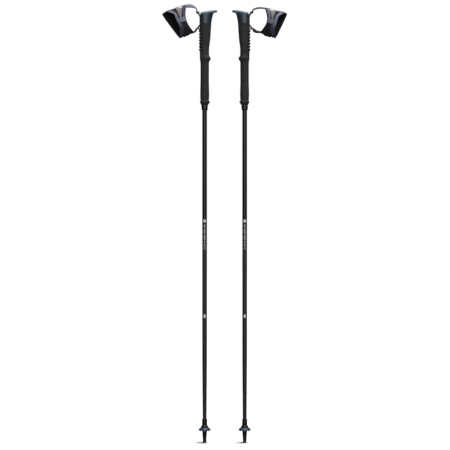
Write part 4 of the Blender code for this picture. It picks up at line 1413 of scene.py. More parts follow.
@dataclass
class Band:
    """A webbing band from an eye bar to the cuff, flat across the pole's plane.

    Fields:
        knots: (distance outwards, drop) of its middle line, in millimetres.
        widths: half its width at shares of its length.
        twist: how far it is turned about its middle line, in degrees, at the same shares.
        thickness: of its webbing.
        eye_drop: drop of its eye's upper lug.
        arch: how far its edges droop at its far end.
    """

    knots: tuple[tuple[float, float], ...]
    widths: tuple[tuple[float, float], ...]
    twist: tuple[tuple[float, float], ...]
    thickness: float
    eye_drop: float
    arch: float = 0.0
    samples: int = 90

    def line(self) -> Array:
        """The middle line: a smooth curve through the knots, sampled evenly along it."""
        knots = np.asarray(self.knots, float)
        fine = smooth_table(np.linspace(0, len(knots) - 1, 400), np.arange(len(knots)), knots)
        along = path_length(fine)
        at = np.linspace(0, along[-1], self.samples)
        x, drop = (np.interp(at, along, fine[:, k]) for k in range(2))
        return np.stack([x, 0 * x, TOP - drop], axis=1)

    def frame(self) -> tuple[Array, Array, Array, Array, Array]:
        """The band's moving frame.

        The normal is the line's direction turned a quarter in the pole's plane, and both it
        and the width are then turned about the line by the twist.

        Returns:
            Middle line, width vectors, normals, half widths and shares of the length.
        """
        line = self.line()
        share = np.linspace(0, 1, len(line))
        along = unit(np.gradient(line, axis=0))
        flat = np.stack([-along[:, 2], 0 * share, along[:, 0]], axis=1)
        at, degrees = np.array(self.twist, float).T
        turn = np.radians(smooth_table(share, at, degrees))[:, None]
        across = np.array([[0.0, 1.0, 0.0]])
        width = across * np.cos(turn) + flat * np.sin(turn)
        normal = flat * np.cos(turn) - across * np.sin(turn)
        at, halves = np.array(self.widths, float).T
        return line, width, normal, smooth_table(share, at, halves), share

    def droop(self, share: Array, offset: Array) -> Array:
        """How far a place off the middle line sags: the square of the offset, past halfway."""
        return self.arch * smooth_step(share, 0.45, 1.0) * (offset / 11) ** 2

    def strip(self, width_share: float, lift: float, thick: float, span: tuple[float, float],
              fade: float = 0.0) -> Shape:
        """A layer of the band, darker at its start.

        Args:
            width_share: its width over the band's.
            lift: height of its middle over the band's middle.
            thick: its thickness.
            span: shares of the band's length between which it runs.
            fade: share of the length over which its tint falls from 1 to 0.

        Returns:
            The layer.
        """
        line, width, normal, half, share = self.frame()
        inside = (share >= span[0]) & (share <= span[1])
        line, width, normal = line[inside], width[inside], normal[inside]
        half, share = half[inside] * width_share, share[inside]
        tint = np.clip(1 - share / max(fade, 1e-6), 0, 1)[:, None]
        made = swept(line + normal * lift, width, normal, half, thick / 2, tint=tint)
        rows = len(line)
        grid = made.points[: rows * 28].reshape(rows, 28, 3)
        offset = np.einsum("rck,rk->rc", grid - line[:, None], width)
        sunk = normal[:, None] * self.droop(share[:, None], offset)[..., None]
        made.points[: rows * 28] -= sunk.reshape(-1, 3)
        return made

    def seam_line(self, side: float, inset: float, span: tuple[float, float]) -> Shape:
        """A row of stitches along an edge, on the outer face."""
        line, width, normal, half, share = self.frame()
        inside = (share >= span[0]) & (share <= span[1])
        reach = np.maximum(half - inset, 0.5)
        height = self.thickness / 2 + 0.05 - self.droop(share, reach)
        place = line + width * (reach * side)[:, None] + normal * height[:, None]
        return stitches(place[inside], normal[inside], 2.6, 2.0, 0.24)

    def bars(self, shares: tuple[float, ...]) -> list[Shape]:
        """Bar tacks: narrow rounded rings of thread round the band."""
        line, width, normal, half, share = self.frame()
        made = []
        for middle in shares:
            at = np.linspace(middle - 0.008, middle + 0.008, 4)

            def pick(values: Array) -> Array:
                """Values at the bar's own shares."""
                return np.stack([np.interp(at, share, values[:, k]) for k in range(3)], axis=1)

            made.append(swept(
                pick(line), unit(pick(width)), unit(pick(normal)),
                np.interp(at, share, half) + 0.45, self.thickness / 2 + 0.45,
            ))
        return made

    def eye_loop(self, axis: float) -> Shape:
        """The band's end wrapped round the bar: a rounded section carried round a circle."""
        top = TOP - self.eye_drop - 1.5
        angle = around(32)
        section = rounded_square(16, 4.0)
        radius = 2.2 + 0.55 * section[None, :, 0]
        z = top - 2.2 + 2.08 * section[None, :, 1]
        rings = stacked(
            axis + radius * np.cos(angle)[:, None], radius * np.sin(angle)[:, None], z
        )
        return tube(rings, wrap=True)


@dataclass
class Cuff:
    """The padded wrist cuff: a tapered shell between the thumb opening and its mouth.

    A place on it has a share s of its length, 0 at the thumb opening and 1 at the mouth, an
    angle, 0 at the top edge and 90 degrees at the front, and a height out from the shell.
    Sizes in millimetres.
    """

    rows: tuple[tuple[float, ...], ...] = (
        # top out, top drop, bottom out, bottom drop, half width, front shift, back shift
        (52.0, -13.2, 31.0, 63.0, 15.0, 11.0, 11.0),
        (66.0, -10.4, 42.5, 69.5, 20.0, 3.0, 3.0),
        (82.0, -4.8, 52.0, 73.5, 24.0, -3.0, 0.0),
        (99.0, 2.2, 60.0, 75.5, 27.0, -11.0, 0.0),
        (115.5, 11.6, 66.8, 77.2, 28.0, -20.0, 0.0),
    )
    wall: float = 1.8
    front_cut: float = 10.0
    binding_beyond: float = 2.9
    binding_back: float = 7.2
    tab_low: tuple[float, float] = (0.16, 0.22)  # share of its inner edge, and its gain
    tab_high: tuple[float, float] = (0.50, 0.02)
    tab_angles: tuple[float, float] = (36.0, 82.0)
    tab_lift: float = 0.75
    tab_thickness: float = 1.1

    def point(self, s: Array, angle: Array, out: Array, beyond: Array = 0.0) -> Array:
        """A point of the cuff.

        From the middle between the top and the bottom edge: the half length between them
        times the cosine, upwards, the half width times the sine, to the front, and the shift
        times the sine squared, outwards. Between the top edge and the front, the mouth is cut
        back further.

        Args:
            s: share of the length.
            angle: angle in radians.
            out: height over the shell.
            beyond: distance outwards past the place.

        Returns:
            Points, with the arguments' common shape followed by 3.
        """
        s, angle, out, beyond = np.broadcast_arrays(
            np.asarray(s, float), np.asarray(angle, float), np.asarray(out, float),
            np.asarray(beyond, float),
        )
        row = smooth_table(s, np.linspace(0, 1, len(self.rows)), self.rows)
        zero = 0 * s
        top = np.stack([row[..., 0], zero, TOP - row[..., 1]], axis=-1)
        bottom = np.stack([row[..., 2], zero, TOP - row[..., 3]], axis=-1)
        reach = np.linalg.norm(top - bottom, axis=-1) / 2
        up = unit(top - bottom)
        outward = np.stack([up[..., 2], zero, -up[..., 0]], axis=-1)
        c, sn = np.cos(angle), np.sin(angle)
        degrees = np.degrees(np.mod(angle, 2 * np.pi))
        cut = smooth_step(degrees, 1, 15) * (1 - smooth_step(degrees, 55, 94))
        shift = np.where(sn > 0, row[..., 5], row[..., 6]) * sn**2 + beyond
        shift = shift - self.front_cut * cut * smooth_step(s, 0.45, 1.0)
        made = (top + bottom) / 2 + up * ((reach + out) * c)[..., None]
        made = made + outward * shift[..., None]
        made[..., 1] -= (row[..., 4] + out) * sn
        return made

    def normal(self, s: Array, angle: Array) -> Array:
        """Unit vectors out of the shell."""
        return unit(self.point(s, angle, 1.0) - self.point(s, angle, 0.0))

    def length(self, angle: Array) -> Array:
        """Length of the shell from the thumb opening to the mouth, at each angle."""
        s = np.linspace(0, 1, 13)[:, None]
        line = self.point(s, np.asarray(angle).reshape(1, -1), 0.0)
        total = np.linalg.norm(np.diff(line, axis=0), axis=-1).sum(axis=0)
        return total.reshape(np.shape(angle))

    def crest(self, s: Array, away: Array) -> Array:
        """Sharp crests of the folds: waves that run from the mouth's front to the bottom."""
        return (0.5 + 0.5 * np.sin(2 * np.pi * (away / 24.0 + 4.6 * s))) ** 1.6

    def fold(self, s: Array, angle: Array) -> Array:
        """How far the cloth's folds lift it.

        Below the front's middle, folds fan out from the lower band: waves of the angle plus a
        share of s. Along the bottom edge, waves of s give a scalloped edge. Elsewhere the
        cloth has only a slight long wave.

        Args:
            s: share of the length.
            angle: angle in radians.

        Returns:
            Heights in millimetres.
        """
        degrees = np.degrees(np.mod(angle, 2 * np.pi))
        front = smooth_step(degrees, 97, 112) * (1 - smooth_step(degrees, 165, 178))
        back = smooth_step(degrees, 182, 195) * (1 - smooth_step(degrees, 248, 263))
        away = np.where(degrees < 180, degrees, 360 - degrees)
        inner = 1 - smooth_step(s, 0.60, 0.85)
        fan = (2 * self.crest(s, away) - 1) * (front + back) * inner
        bottom = bump(degrees - 180, 26.0)
        scallop = np.sin(2 * np.pi * (s * 3.6 + 0.1)) * bottom * smooth_step(s, 0.05, 0.3)
        slack = 0.35 * np.sin(2 * np.pi * s * 1.3 + 3 * angle)
        return 1.0 * fan + 0.9 * scallop + slack * smooth_step(s, 0.0, 0.2)

    def shell(self) -> Shape:
        """The padded shell: rings of the outside, the mouth's edge, the inside, the opening's."""
        angle = around(220)[None]
        s = np.concatenate([[0.0], np.linspace(0.01, 1, 56)])[:, None]
        fold = self.fold(s, angle)
        outside = self.point(s, angle, fold)
        mouth = self.point(1.0, angle, -self.wall / 2 + fold[-1:], 0.25)
        inside = self.point(s[::-1], angle, (0.7 * fold - self.wall)[::-1])
        opening = self.point(0.0, angle, -self.wall / 2, -0.7)
        rings = np.concatenate([outside, mouth, inside, opening])
        degrees = np.degrees(angle)
        # Painted highlight: the crests of the front folds are tinted towards the paler second
        # colour.
        seen = smooth_step(degrees, 98, 108) * (1 - smooth_step(degrees, 158, 176))
        painted_crest_highlight = 0.75 * self.crest(s, degrees) ** 2 * seen * (1 - smooth_step(s, 0.5, 0.8))
        tint = np.zeros(rings.shape[:2])
        tint[: len(s)] = painted_crest_highlight
        made = tube(rings, tint, wrap=True)
        columns = 220
        lining = len(s) + 1
        per_row = np.zeros((len(rings), columns), int)
        per_row[lining - 1 :] = 1
        made.patch = per_row.reshape(-1)
        return made

    def rim(self) -> Shape:
        """The rolled trim of the thumb opening: a rounded section carried round its edge."""
        angle = around(180)[:, None]
        section = rounded_square(18, 3.0)[None]
        out = -self.wall / 2 + 1.75 * section[..., 1]
        along = 0.3 + 1.7 * section[..., 0]
        s = np.maximum(along, 0) / self.length(angle)
        rings = self.point(s, angle, out, np.minimum(along, 0))
        degrees = np.degrees(angle[:, 0])
        front = smooth_step(degrees, 96, 118) * (1 - smooth_step(degrees, 318, 345))
        return tube(rings, front[:, None], wrap=True)

    def binding(self) -> Shape:
        """The wide binding of the mouth, folded over its edge.

        Its section runs back over the outside, round the edge and back inside, and returns a
        tape's thickness under itself. The lining side has the piece's second finish.
        """
        tape, end, back, inner = 1.0, self.binding_beyond, self.binding_back, 4.5
        arc = np.linspace(np.pi / 2, -np.pi / 2, 9)
        depth = self.wall / 2 + tape
        nose = end - depth * 0.8
        over = [(-back - 0.15, 0.15), (-back, 0.6), (-back + 0.5, tape)]
        over += [(m, tape) for m in np.linspace(-back + 1.2, nose - 0.4, 9)]
        turn = [(nose + 0.8 * depth * math.cos(a), -self.wall / 2 + depth * math.sin(a))
                for a in arc]
        under = [(m, -self.wall - tape) for m in np.linspace(nose - 0.4, -inner, 6)]
        under += [(-inner - 0.4, -self.wall - 0.4), (-inner, -self.wall + 0.1)]
        ways = [(0.35, -self.wall + 0.1), (0.5, -self.wall / 2), (0.35, -0.1), (-back, -0.2)]
        section = np.array(over + turn + under + ways)
        angle = around(200)[:, None]
        place, out = section[None, :, 0], section[None, :, 1]
        s = 1 + np.minimum(place, 0) / self.length(angle)
        fold = self.fold(s, angle) * smooth_step(-place, 0, 3)
        rings = self.point(s, angle, out + fold, np.maximum(place, 0))
        degrees = np.degrees(angle[:, 0])
        dark = 1 - smooth_step(degrees, 22, 42) * (1 - smooth_step(degrees, 98, 122))
        made = tube(rings, dark[:, None], wrap=True)
        column = np.tile(np.arange(len(section)), 200)
        made.patch = (column >= len(over) + 5).astype(int)
        return made

    def patch(
        self, angles: tuple[float, float], low: Array, high: Array, lift: float, thick: float,
        rows: int = 48, corner: float = 0.0, tint: Array | float = 0.0,
    ) -> Shape:
        """A flat piece of cloth on the shell.

        Args:
            angles: where it starts and ends, in degrees.
            low: share s of one edge, a value for each of its rows.
            high: share s of the other edge.
            lift: height of its underside.
            thick: its thickness.
            rows: rows from start to end.
            corner: how much of its length its ends are rounded over.
            tint: one value, or one for each row.

        Returns:
            The piece.
        """
        t = np.linspace(0, 1, rows)
        if corner:
            share = np.clip(np.minimum(t, 1 - t) / corner, 0, 1)
            pinch = (0.5 - 0.5 * np.sqrt(1 - (1 - share) ** 2))[:, None]
        else:
            pinch = np.zeros((rows, 1))
        angle = np.radians(angles[0] + t * (angles[1] - angles[0]))[:, None]
        across = 0.5 - 0.5 * np.cos(np.linspace(0, np.pi, 25))[None]
        low, high = (np.broadcast_to(e, rows)[:, None] for e in (low, high))
        gap = high - low
        s = low + gap * (pinch + across * (1 - 2 * pinch))
        width = gap * self.length(angle)
        edge = np.minimum(np.minimum(across, 1 - across) * width, 0.8)
        ends = np.minimum(t, 1 - t)[:, None] * math.radians(angles[1] - angles[0]) * 30
        edge = np.minimum(edge, ends)
        round_off = rounded_end(edge, 0.8) / 0.8
        fold = self.fold(s, angle)
        top = self.point(s, angle, fold + lift + thick * (1 - 0.6 * round_off))
        bottom = self.point(s, angle, fold + lift)
        shade = np.asarray(tint, float)
        return slab(top, bottom, shade[:, None] if shade.ndim else shade)

    def patch_seam(self, angles: Array, shares: Array, lift: float, pitch: float = 2.6) -> Shape:
        """A row of stitches through places on the shell."""
        angle = np.radians(angles)
        line = self.point(shares, angle, self.fold(shares, angle) + lift)
        return stitches(line, self.normal(shares, angle), pitch, 0.78 * pitch, 0.24)

    def tab_edges(self, t: Array) -> tuple[Array, Array]:
        """Shares s of the tab's two edges at a share t of its length."""
        return self.tab_low[0] + self.tab_low[1] * t, self.tab_high[0] + self.tab_high[1] * t

    def panels(self) -> dict[str, Shape]:
        """The sewn panels: column, cross band, lower column and top panel."""
        made = {}
        at = np.linspace(0, 1, 48)

        def reach(angles: tuple[float, float], distance: Array) -> Array:
            """Millimetres along the shell as a share, on the piece's own rows."""
            turn = np.radians(angles[0] + at * (angles[1] - angles[0]))
            return distance / self.length(turn)

        column = (10.0, 100.0)
        made["hole_column"] = self.patch(
            column, reach(column, 1.4), reach(column, 6.2 + 1.6 * at), -0.3, 1.2)
        cross = (79.0, 97.0)
        made["cross_band"] = self.patch(
            cross, reach(cross, 1.4), 1 - reach(cross, 5.0), -0.2, 1.7)
        lower = (99.5, 152.0)
        made["lower_column"] = self.patch(
            lower, 1 - reach(lower, 14.5 - 2.0 * at), 1 - reach(lower, 6.0), -0.3, 1.0,
            tint=0.75 * at)
        top = (-8.0, 37.0)
        low, high = self.tab_edges(np.zeros(48))
        made["top_panel"] = self.patch(top, low, high, -0.3, 1.15)
        return made

    def tab(self) -> Shape:
        """The hook-and-loop tab over the front, tapered to a rounded end."""
        t = np.linspace(0, 1, 60)
        low, high = self.tab_edges(t)
        close = np.clip((t - 0.82) / 0.18, 0, 1)
        pinch = (high - low) * 0.5 * (1 - np.sqrt(1 - 0.92 * close**2))
        return self.patch(self.tab_angles, low + pinch, high - pinch, self.tab_lift,
                          self.tab_thickness, rows=60)

    def tab_seam(self) -> Shape:
        """Stitches round the tab, 1.6 mm in from its edge."""
        t = np.linspace(0.04, 0.86, 40)
        low, high = self.tab_edges(t)
        turn = self.tab_angles[0] + t * (self.tab_angles[1] - self.tab_angles[0])
        inset = 1.6 / self.length(np.radians(turn))
        angles = np.concatenate([turn, turn[::-1]])
        shares = np.concatenate([low + inset, (high - inset)[::-1]])
        return self.patch_seam(angles, shares, self.tab_lift + self.tab_thickness)

    def seams(self) -> Shape:
        """The rows of stitches on the column, the cross band, the binding and the top panel."""
        made = []
        turn = np.linspace(14, 96, 60)
        per_mm = 1 / self.length(np.radians(turn))
        made.append(self.patch_seam(turn, 2.6 * per_mm, 0.9))
        made.append(self.patch_seam(turn, (5.2 + 1.2 * (turn - 14) / 82) * per_mm, 0.9))
        turn = np.linspace(-10, 150, 120)
        per_mm = 1 / self.length(np.radians(turn))
        made.append(self.patch_seam(turn, 1 - 6.2 * per_mm, 1.0))
        made.append(self.patch_seam(turn, 1 - 1.2 * per_mm, 1.0))
        for degrees in (81.5, 94.5):
            turn = np.full(40, degrees)
            per_mm = 1 / self.length(np.radians(turn))
            shares = np.linspace(0, 1, 40)
            low, high = 2.4 * per_mm, 1 - 8.2 * per_mm
            made.append(self.patch_seam(turn, low + shares * (high - low), 1.5))
        turn = np.linspace(-6, 34, 30)
        per_mm = 1 / self.length(np.radians(turn))
        for shares in (self.tab_low[0] + 1.6 * per_mm, self.tab_high[0] - 1.6 * per_mm):
            made.append(self.patch_seam(turn, shares, 0.85))
        return Shape.joined(made)

    def shadow_seam(self) -> Shape:
        """A black strip along the cross band's lower edge: a painted shadow of the band."""
        at = np.linspace(0, 1, 40)
        turn = np.radians(98.0 + 1.2 * np.sin(np.pi * at))
        per_mm = 1 / self.length(turn)
        s = 1.6 * per_mm + at * (1 - 8.0 * per_mm)
        line = self.point(s, turn, self.fold(s, turn) + 0.5)
        normal = self.normal(s, turn)
        along = unit(np.gradient(line, axis=0))
        return swept(line, unit(np.cross(normal, along)), normal, 1.1, 0.7, sides=14, power=2.5)


@dataclass
class HandStrap:
    """A click-in hand strap: plug, two bands and the wrist cuff.

    Fields:
        upper: the upper band.
        lower: the lower band.
        cuff: the wrist cuff.
        column: finish of the strip along the thumb opening.
        tape: finish of the tape along the upper band.
        tape_thread: finish of the upper band's stitches.
    """

    upper: Band
    lower: Band
    cuff: Cuff
    column: Finish
    tape: Finish
    tape_thread: Finish
    plug: StrapPlug = field(default_factory=StrapPlug)

    @staticmethod
    def of(side: Side) -> "HandStrap":
        """The side's strap: the left one stands stiff and high, the right one hangs lower."""
        if side is Side.LEFT:
            return HandStrap(
                Band(((20.9, 10.4), (20.9, 4.0), (21.8, -0.4), (25.2, -4.8), (31.6, -8.4),
                      (41.0, -11.0), (51.2, -11.6), (60.0, -11.2)),
                     ((0.0, 2.0), (0.16, 2.6), (0.4, 6.5), (0.62, 9.5), (0.82, 9.5), (1.0, 5.0)),
                     ((0.0, 0.0), (0.15, 10.0), (0.4, 28.0), (0.8, 30.0), (1.0, 8.0)),
                     2.2, 5.0, arch=3.0),
                Band(((21.0, 51.6), (22.0, 54.0), (23.5, 57.0), (26.6, 60.4), (31.5, 63.0),
                      (38.0, 66.6)),
                     ((0.0, 2.2), (0.25, 2.6), (0.6, 6.5), (0.8, 8.5), (1.0, 7.0)),
                     ((0.0, 8.0), (0.25, 28.0), (0.6, 22.0), (1.0, 6.0)),
                     2.8, 46.5),
                # The left cuff's strip of holes takes the deep slate as painted shade; the right
                # one's is lavender.
                Cuff(), Finishes.deep_webbing, Finishes.lavender_webbing, Finishes.thread,
            )
        return HandStrap(
            Band(((20.9, 10.4), (21.0, 4.6), (23.2, 0.4), (28.6, -2.2), (36.0, -4.2),
                  (45.0, -5.0), (57.2, -4.2), (66.0, -3.0)),
                 ((0.0, 2.0), (0.16, 2.8), (0.4, 6.5), (0.62, 9.5), (0.82, 9.5), (1.0, 5.0)),
                 ((0.0, 0.0), (0.15, 24.0), (0.4, 20.0), (0.75, 13.0), (1.0, 4.0)),
                 2.6, 5.0, arch=2.0),
            Band(((21.0, 50.6), (22.4, 53.6), (25.8, 57.6), (32.0, 60.8), (42.8, 62.4),
                  (52.0, 66.0)),
                 ((0.0, 2.2), (0.15, 4.2), (0.5, 7.5), (0.75, 9.5), (1.0, 7.0)),
                 ((0.0, 6.0), (0.18, 34.0), (0.6, 24.0), (1.0, 6.0)),
                 3.0, 46.5),
            Cuff(
                (
                    (58.0, -4.0, 44.0, 63.5, 18.0, 12.0, 12.0),
                    (72.5, -2.5, 54.0, 71.0, 22.5, 5.0, 5.0),
                    (87.0, 2.0, 64.0, 74.0, 25.5, -1.0, 0.0),
                    (101.5, 5.3, 74.5, 76.0, 27.5, -8.5, 0.0),
                    (115.5, 11.0, 83.7, 77.2, 28.0, -15.0, 0.0),
                ),
                front_cut=6.0,
            ),
            Finishes.lavender_webbing, Finishes.deep_webbing, Finishes.dark_thread,
        )

    def build_bands(self, pole: Pole) -> None:
        """Makes both bands with their layers, bar tacks and stitches."""
        upper = self.upper
        body = Shape.joined([upper.strip(1.0, 0.0, upper.thickness, (0.0, 1.0), 0.3),
                             upper.strip(FOLD_SHARE, -upper.thickness / 2 - FOLD_THICKNESS / 2,
                                         FOLD_THICKNESS, (0.0, 0.15), 3.0),
                             upper.eye_loop(self.plug.eye_axis)])
        made = pole.make("upper_band", body, [Finishes.slate_webbing], "strap",
                         ("upper_band",))
        layer = pole.make("upper_band_tape", upper.strip(0.62, 1.35, 0.7, (0.24, 0.97)),
                          [self.tape], "strap")
        tacks = Shape.joined(upper.bars((0.16, 0.21, 0.26, 0.31)))
        pole.make("upper_band_tacks", tacks, [Finishes.thread], "strap")
        rows = Shape.joined([upper.seam_line(side, 1.3, (0.36, 0.97)) for side in (-1, 1)])
        pole.make("upper_band_stitches", rows, [self.tape_thread], "strap")

        lower = self.lower
        body = Shape.joined([lower.strip(1.0, 0.0, lower.thickness, (0.0, 1.0)),
                             lower.strip(FOLD_SHARE, lower.thickness / 2 + FOLD_THICKNESS / 2,
                                         FOLD_THICKNESS, (0.0, 0.35)),
                             lower.eye_loop(self.plug.eye_axis)])
        made = pole.make("lower_band", body, [Finishes.black_webbing], "strap",
                         ("lower_band",))
        rows = Shape.joined([lower.seam_line(side, 1.3, (0.35, 0.98)) for side in (-1, 1)])
        pole.make("lower_band_stitches", rows, [Finishes.dark_thread], "strap")

    def build_cuff(self, pole: Pole) -> None:
        """Makes the shell, its trims, panels, seams and the closure tab."""
        cuff = self.cuff
        shell = pole.make("wrist_cuff", cuff.shell(),
                          [Finishes.spacer_knit, Finishes.spacer_knit], "strap",
                          ("wrist_cuff",))
        rim = pole.make("cuff_rim", cuff.rim(), [Finishes.slate_webbing], "strap")
        binding = pole.make(
            "cuff_binding", cuff.binding(), [Finishes.lavender_webbing, Finishes.black_webbing],
            "strap", ("cuff_binding",))
        panels = cuff.panels()
        for name, finish in (
            ("hole_column", self.column), ("cross_band", Finishes.lavender_webbing),
            ("lower_column", Finishes.slate_webbing), ("top_panel", Finishes.brushed_nylon),
        ):
            made = pole.make(name, panels[name], [finish], "strap")
        painted_band_shadow = pole.make("shadow_seam", cuff.shadow_seam(), [Finishes.black_webbing],
                           "strap")
        pole.make("cuff_stitches", cuff.seams(), [Finishes.thread], "strap")
        label = cuff.patch((15.0, 34.0), np.full(48, 0.19), np.full(48, 0.38), 0.8, 0.45,
                           corner=0.12)
        made = pole.make("plain_label", label, [Finishes.label_cloth], "strap")
        tab = pole.make("closure_tab", cuff.tab(), [Finishes.brushed_nylon], "tab",
                        ("closure_tab",))
        pole.make("tab_stitches", cuff.tab_seam(), [Finishes.dark_thread], "tab")

    def build(self, pole: Pole) -> None:
        """Makes the whole strap."""
        self.plug.build(pole)
        self.build_bands(pole)
        self.build_cuff(pole)


# ---------------------------------------------------------------- foot


@dataclass
class Foot:
    """The ferrule, the basket, the threaded tip's collar and the rubber tip.

    Sizes in millimetres.
    """

    ferrule_top: float = 66.0
    ferrule_radius: float = 7.1
    cone_top: float = 49.0
    cone_bottom: float = 43.0
    cone_radius: float = 10.8
    neck_radius: float = 4.9
    bottom: float = 28.2
    basket_radius: float = 17.3
    hub_radius: float = 7.4
    hub_bottom: float = 34.0
    petals: int = 8
    scallop: float = 1.3
    droop: float = 8.0
    basket_thickness: float = 1.8
    tip_top: float = 27.6

    def ferrule(self) -> Shape:
        """The ferrule: a sleeve with two fine grooves, a cone and the neck that it hides."""
        r, top = self.ferrule_radius, self.ferrule_top
        rows = [(5.6, top, 0), (r - 0.5, top, 0.2), (r, top - 0.6, 0.3)]
        for groove in (4.0, 6.2):
            rows += [(r, top - groove, 0.1), (r - 0.25, top - groove - 0.2, 0.1),
                     (r - 0.25, top - groove - 0.6, 0.1), (r, top - groove - 0.8, 0.1)]
        rows += [
            (r, self.cone_top + 0.6, 2.0), (r + 0.6, self.cone_top - 0.4, 1.0),
            (self.cone_radius, self.cone_bottom + 0.3, 0.5),
            (self.cone_radius, self.cone_bottom - 0.8, 0.2),
            (self.neck_radius, self.cone_bottom - 0.8, 0.2), (self.neck_radius, self.bottom, 0),
        ]
        return turned(rounded_profile(rows), 80)

    def basket(self) -> Shape:
        """The basket: a hub, and a skirt that droops and parts into crowned petals.

        The section runs over the top, round the edge and back underneath. Each place is cut
        back by the scallop times its share and half of 1 minus the cosine of the petals'
        angle cubed, and raised there, so that the petals hang down between the scallops.
        """
        top = self.cone_bottom - 0.8 - GAP
        bore = self.neck_radius + GAP
        edge, droop, thick = self.basket_radius, self.droop, self.basket_thickness
        section = np.array([
            # radius, height, share of the scallop
            (bore, top, 0), (0.50 * edge, top, 0), (0.70 * edge, top, 0.0),
            (0.76 * edge, top - 0.05 * droop, 0.1), (0.83 * edge, top - 0.18 * droop, 0.25),
            (0.89 * edge, top - 0.36 * droop, 0.5), (0.945 * edge, top - 0.60 * droop, 0.8),
            (0.985 * edge, top - 0.82 * droop, 1), (edge, top - droop + 0.7 * thick, 1),
            (edge, top - droop + 0.35 * thick, 1), (0.985 * edge, top - droop, 1),
            (0.955 * edge, top - droop - 0.1 * thick, 1), (0.925 * edge, top - droop, 1),
            (0.90 * edge, top - 0.80 * droop, 0.9), (0.85 * edge, top - 0.62 * droop, 0.5),
            (0.78 * edge, top - 0.30 * droop - 0.6 * thick, 0.25),
            (0.70 * edge, top - thick, 0.1), (0.60 * edge, top - thick, 0),
            (self.hub_radius + 0.3, top - thick - 0.1, 0),
            (self.hub_radius, top - thick - 0.5, 0),
            (self.hub_radius, self.hub_bottom + 0.4, 0),
            (self.hub_radius - 0.4, self.hub_bottom, 0), (bore, self.hub_bottom, 0),
        ])
        angle = around(192)[None]
        notch = (0.5 - 0.5 * np.cos(self.petals * angle)) ** 3
        share = section[:, 2:3]
        radius = section[:, :1] - 1.9 * self.scallop * share * notch
        z = section[:, 1:2] + 2.8 * share * notch
        rings = stacked(radius * np.cos(angle), radius * np.sin(angle), z)
        # Painted shade: the scallops between the petals, towards the rim, are tinted towards the
        # darker second colour.
        return tube(rings, 0.6 * share * notch, wrap=True)

    def tip_collar(self) -> Shape:
        """The collar that locks the tip, with a plain rounded edge at each end."""
        bore = self.neck_radius + GAP
        rows = rounded_profile([
            (bore, self.bottom, 0), (6.9, self.bottom, 0.5), (6.9, 33.6, 0.5), (bore, 33.6, 0),
        ])
        angle = around(64)
        radius = rows[:, :1]
        rings = stacked(radius * np.cos(angle), radius * np.sin(angle), rows[:, 1:])
        return tube(rings, wrap=True)

    def rubber_tip(self) -> Shape:
        """The rubber tip: a tapered boot with flutes and a rounded foot.

        The flutes are cut by a cube of half of 1 plus the cosine of ten turns, between its
        shoulder and its foot.
        """
        rows = rounded_profile([
            (0.4, 0.0, 0), (3.6, 0.0, 0.5), (4.65, 1.15, 0.7), (4.75, 3.0, 1.0),
            (5.55, 19.0, 1.0), (5.7, 20.0, 0.4), (6.1, 20.6, 0.4), (6.1, 27.0, 0.5),
            (5.6, self.tip_top, 0.3), (2.7, self.tip_top, 0),
        ])
        z = np.concatenate([np.linspace(a, b, 6)[:-1] for a, b in zip(rows[:-1, 1], rows[1:, 1])])
        r = np.concatenate([np.linspace(a, b, 6)[:-1] for a, b in zip(rows[:-1, 0], rows[1:, 0])])
        z, r = np.append(z, rows[-1, 1])[:, None], np.append(r, rows[-1, 0])[:, None]
        angle = around(120)[None]
        cut = 0.4 * (0.5 + 0.5 * np.cos(10 * angle)) ** 3
        cut = cut * smooth_step(z, 2.6, 4.2) * (1 - smooth_step(z, 17.6, 19.0))
        radius = r - cut
        rings = stacked(radius * np.cos(angle), radius * np.sin(angle), z)
        return tube(rings)

    def build(self, pole: Pole) -> None:
        """Makes the foot's four pieces."""
        pole.make("ferrule", self.ferrule(), [Finishes.gloss_polyamide], "pole",
                  ("ferrule",))
        pole.make("basket", self.basket(), [Finishes.filled_polyamide], "basket",
                  ("basket",))
        pole.make("tip_collar", self.tip_collar(), [Finishes.grained_polyamide], "pole",
                  ("tip_collar",))
        pole.make("rubber_tip", self.rubber_tip(), [Finishes.rubber], "tip",
                  ("rubber_tip",))


# ---------------------------------------------------------------- pieces kept from the frame


class KeptPieces:
    """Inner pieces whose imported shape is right: they only get their finish."""

    finishes: dict[str, Finish] = {
        "shaft_plug": Finishes.grained_polyamide,
        "latch_plate": Finishes.steel,
        "tip_stud": Finishes.steel,
    }

    def build(self, pole: Pole) -> None:
        """Dresses the side's kept pieces."""
        for name, finish in self.finishes.items():
            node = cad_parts[pole.node(name)]
            node.data.materials.clear()
            node.data.materials.append(finish.material())
            LOG.info("%s: kept", node.name)


@dataclass
class ButtonSpring:
    """The coil spring under the latch plate, which shortens as the button goes down.

    Sizes in millimetres.
    """

    wire: float = 0.25
    radius: float = 1.25
    turns: int = 4
    keep: float = 0.66

    def coil(self, x: float, y: float, low: float, high: float) -> Shape:
        """The wire: circles carried down a helix, each in the plane of the coil's axis.

        Args:
            x: distance of its axis from the shaft's.
            y: distance of its axis from the pole's plane.
            low: its lowest height.
            high: its highest height.

        Returns:
            The wire, closed at both ends.
        """
        turn = np.linspace(0, 2 * np.pi * self.turns, 24 * self.turns + 1)[:, None]
        z = np.linspace(high - self.wire, low + self.wire, len(turn))[:, None]
        section = around(12)[None]
        reach = self.radius + self.wire * np.cos(section)
        return tube(np.stack([
            x + reach * np.cos(turn), y + reach * np.sin(turn), z + self.wire * np.sin(section),
        ], axis=-1))

    def build(self, pole: Pole) -> None:
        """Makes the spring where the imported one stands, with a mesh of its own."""
        low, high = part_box(pole.node("button_spring"))
        middle = (low + high) / 2
        coil = self.coil(pole.side.sign * (middle.x - pole.axis) / MM, middle.y / MM,
                         low.z / MM, high.z / MM)
        made = pole.make("button_spring", coil, [Finishes.steel], "pole",
                         ("button_spring",))
        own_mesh(made)


# ---------------------------------------------------------------- studio


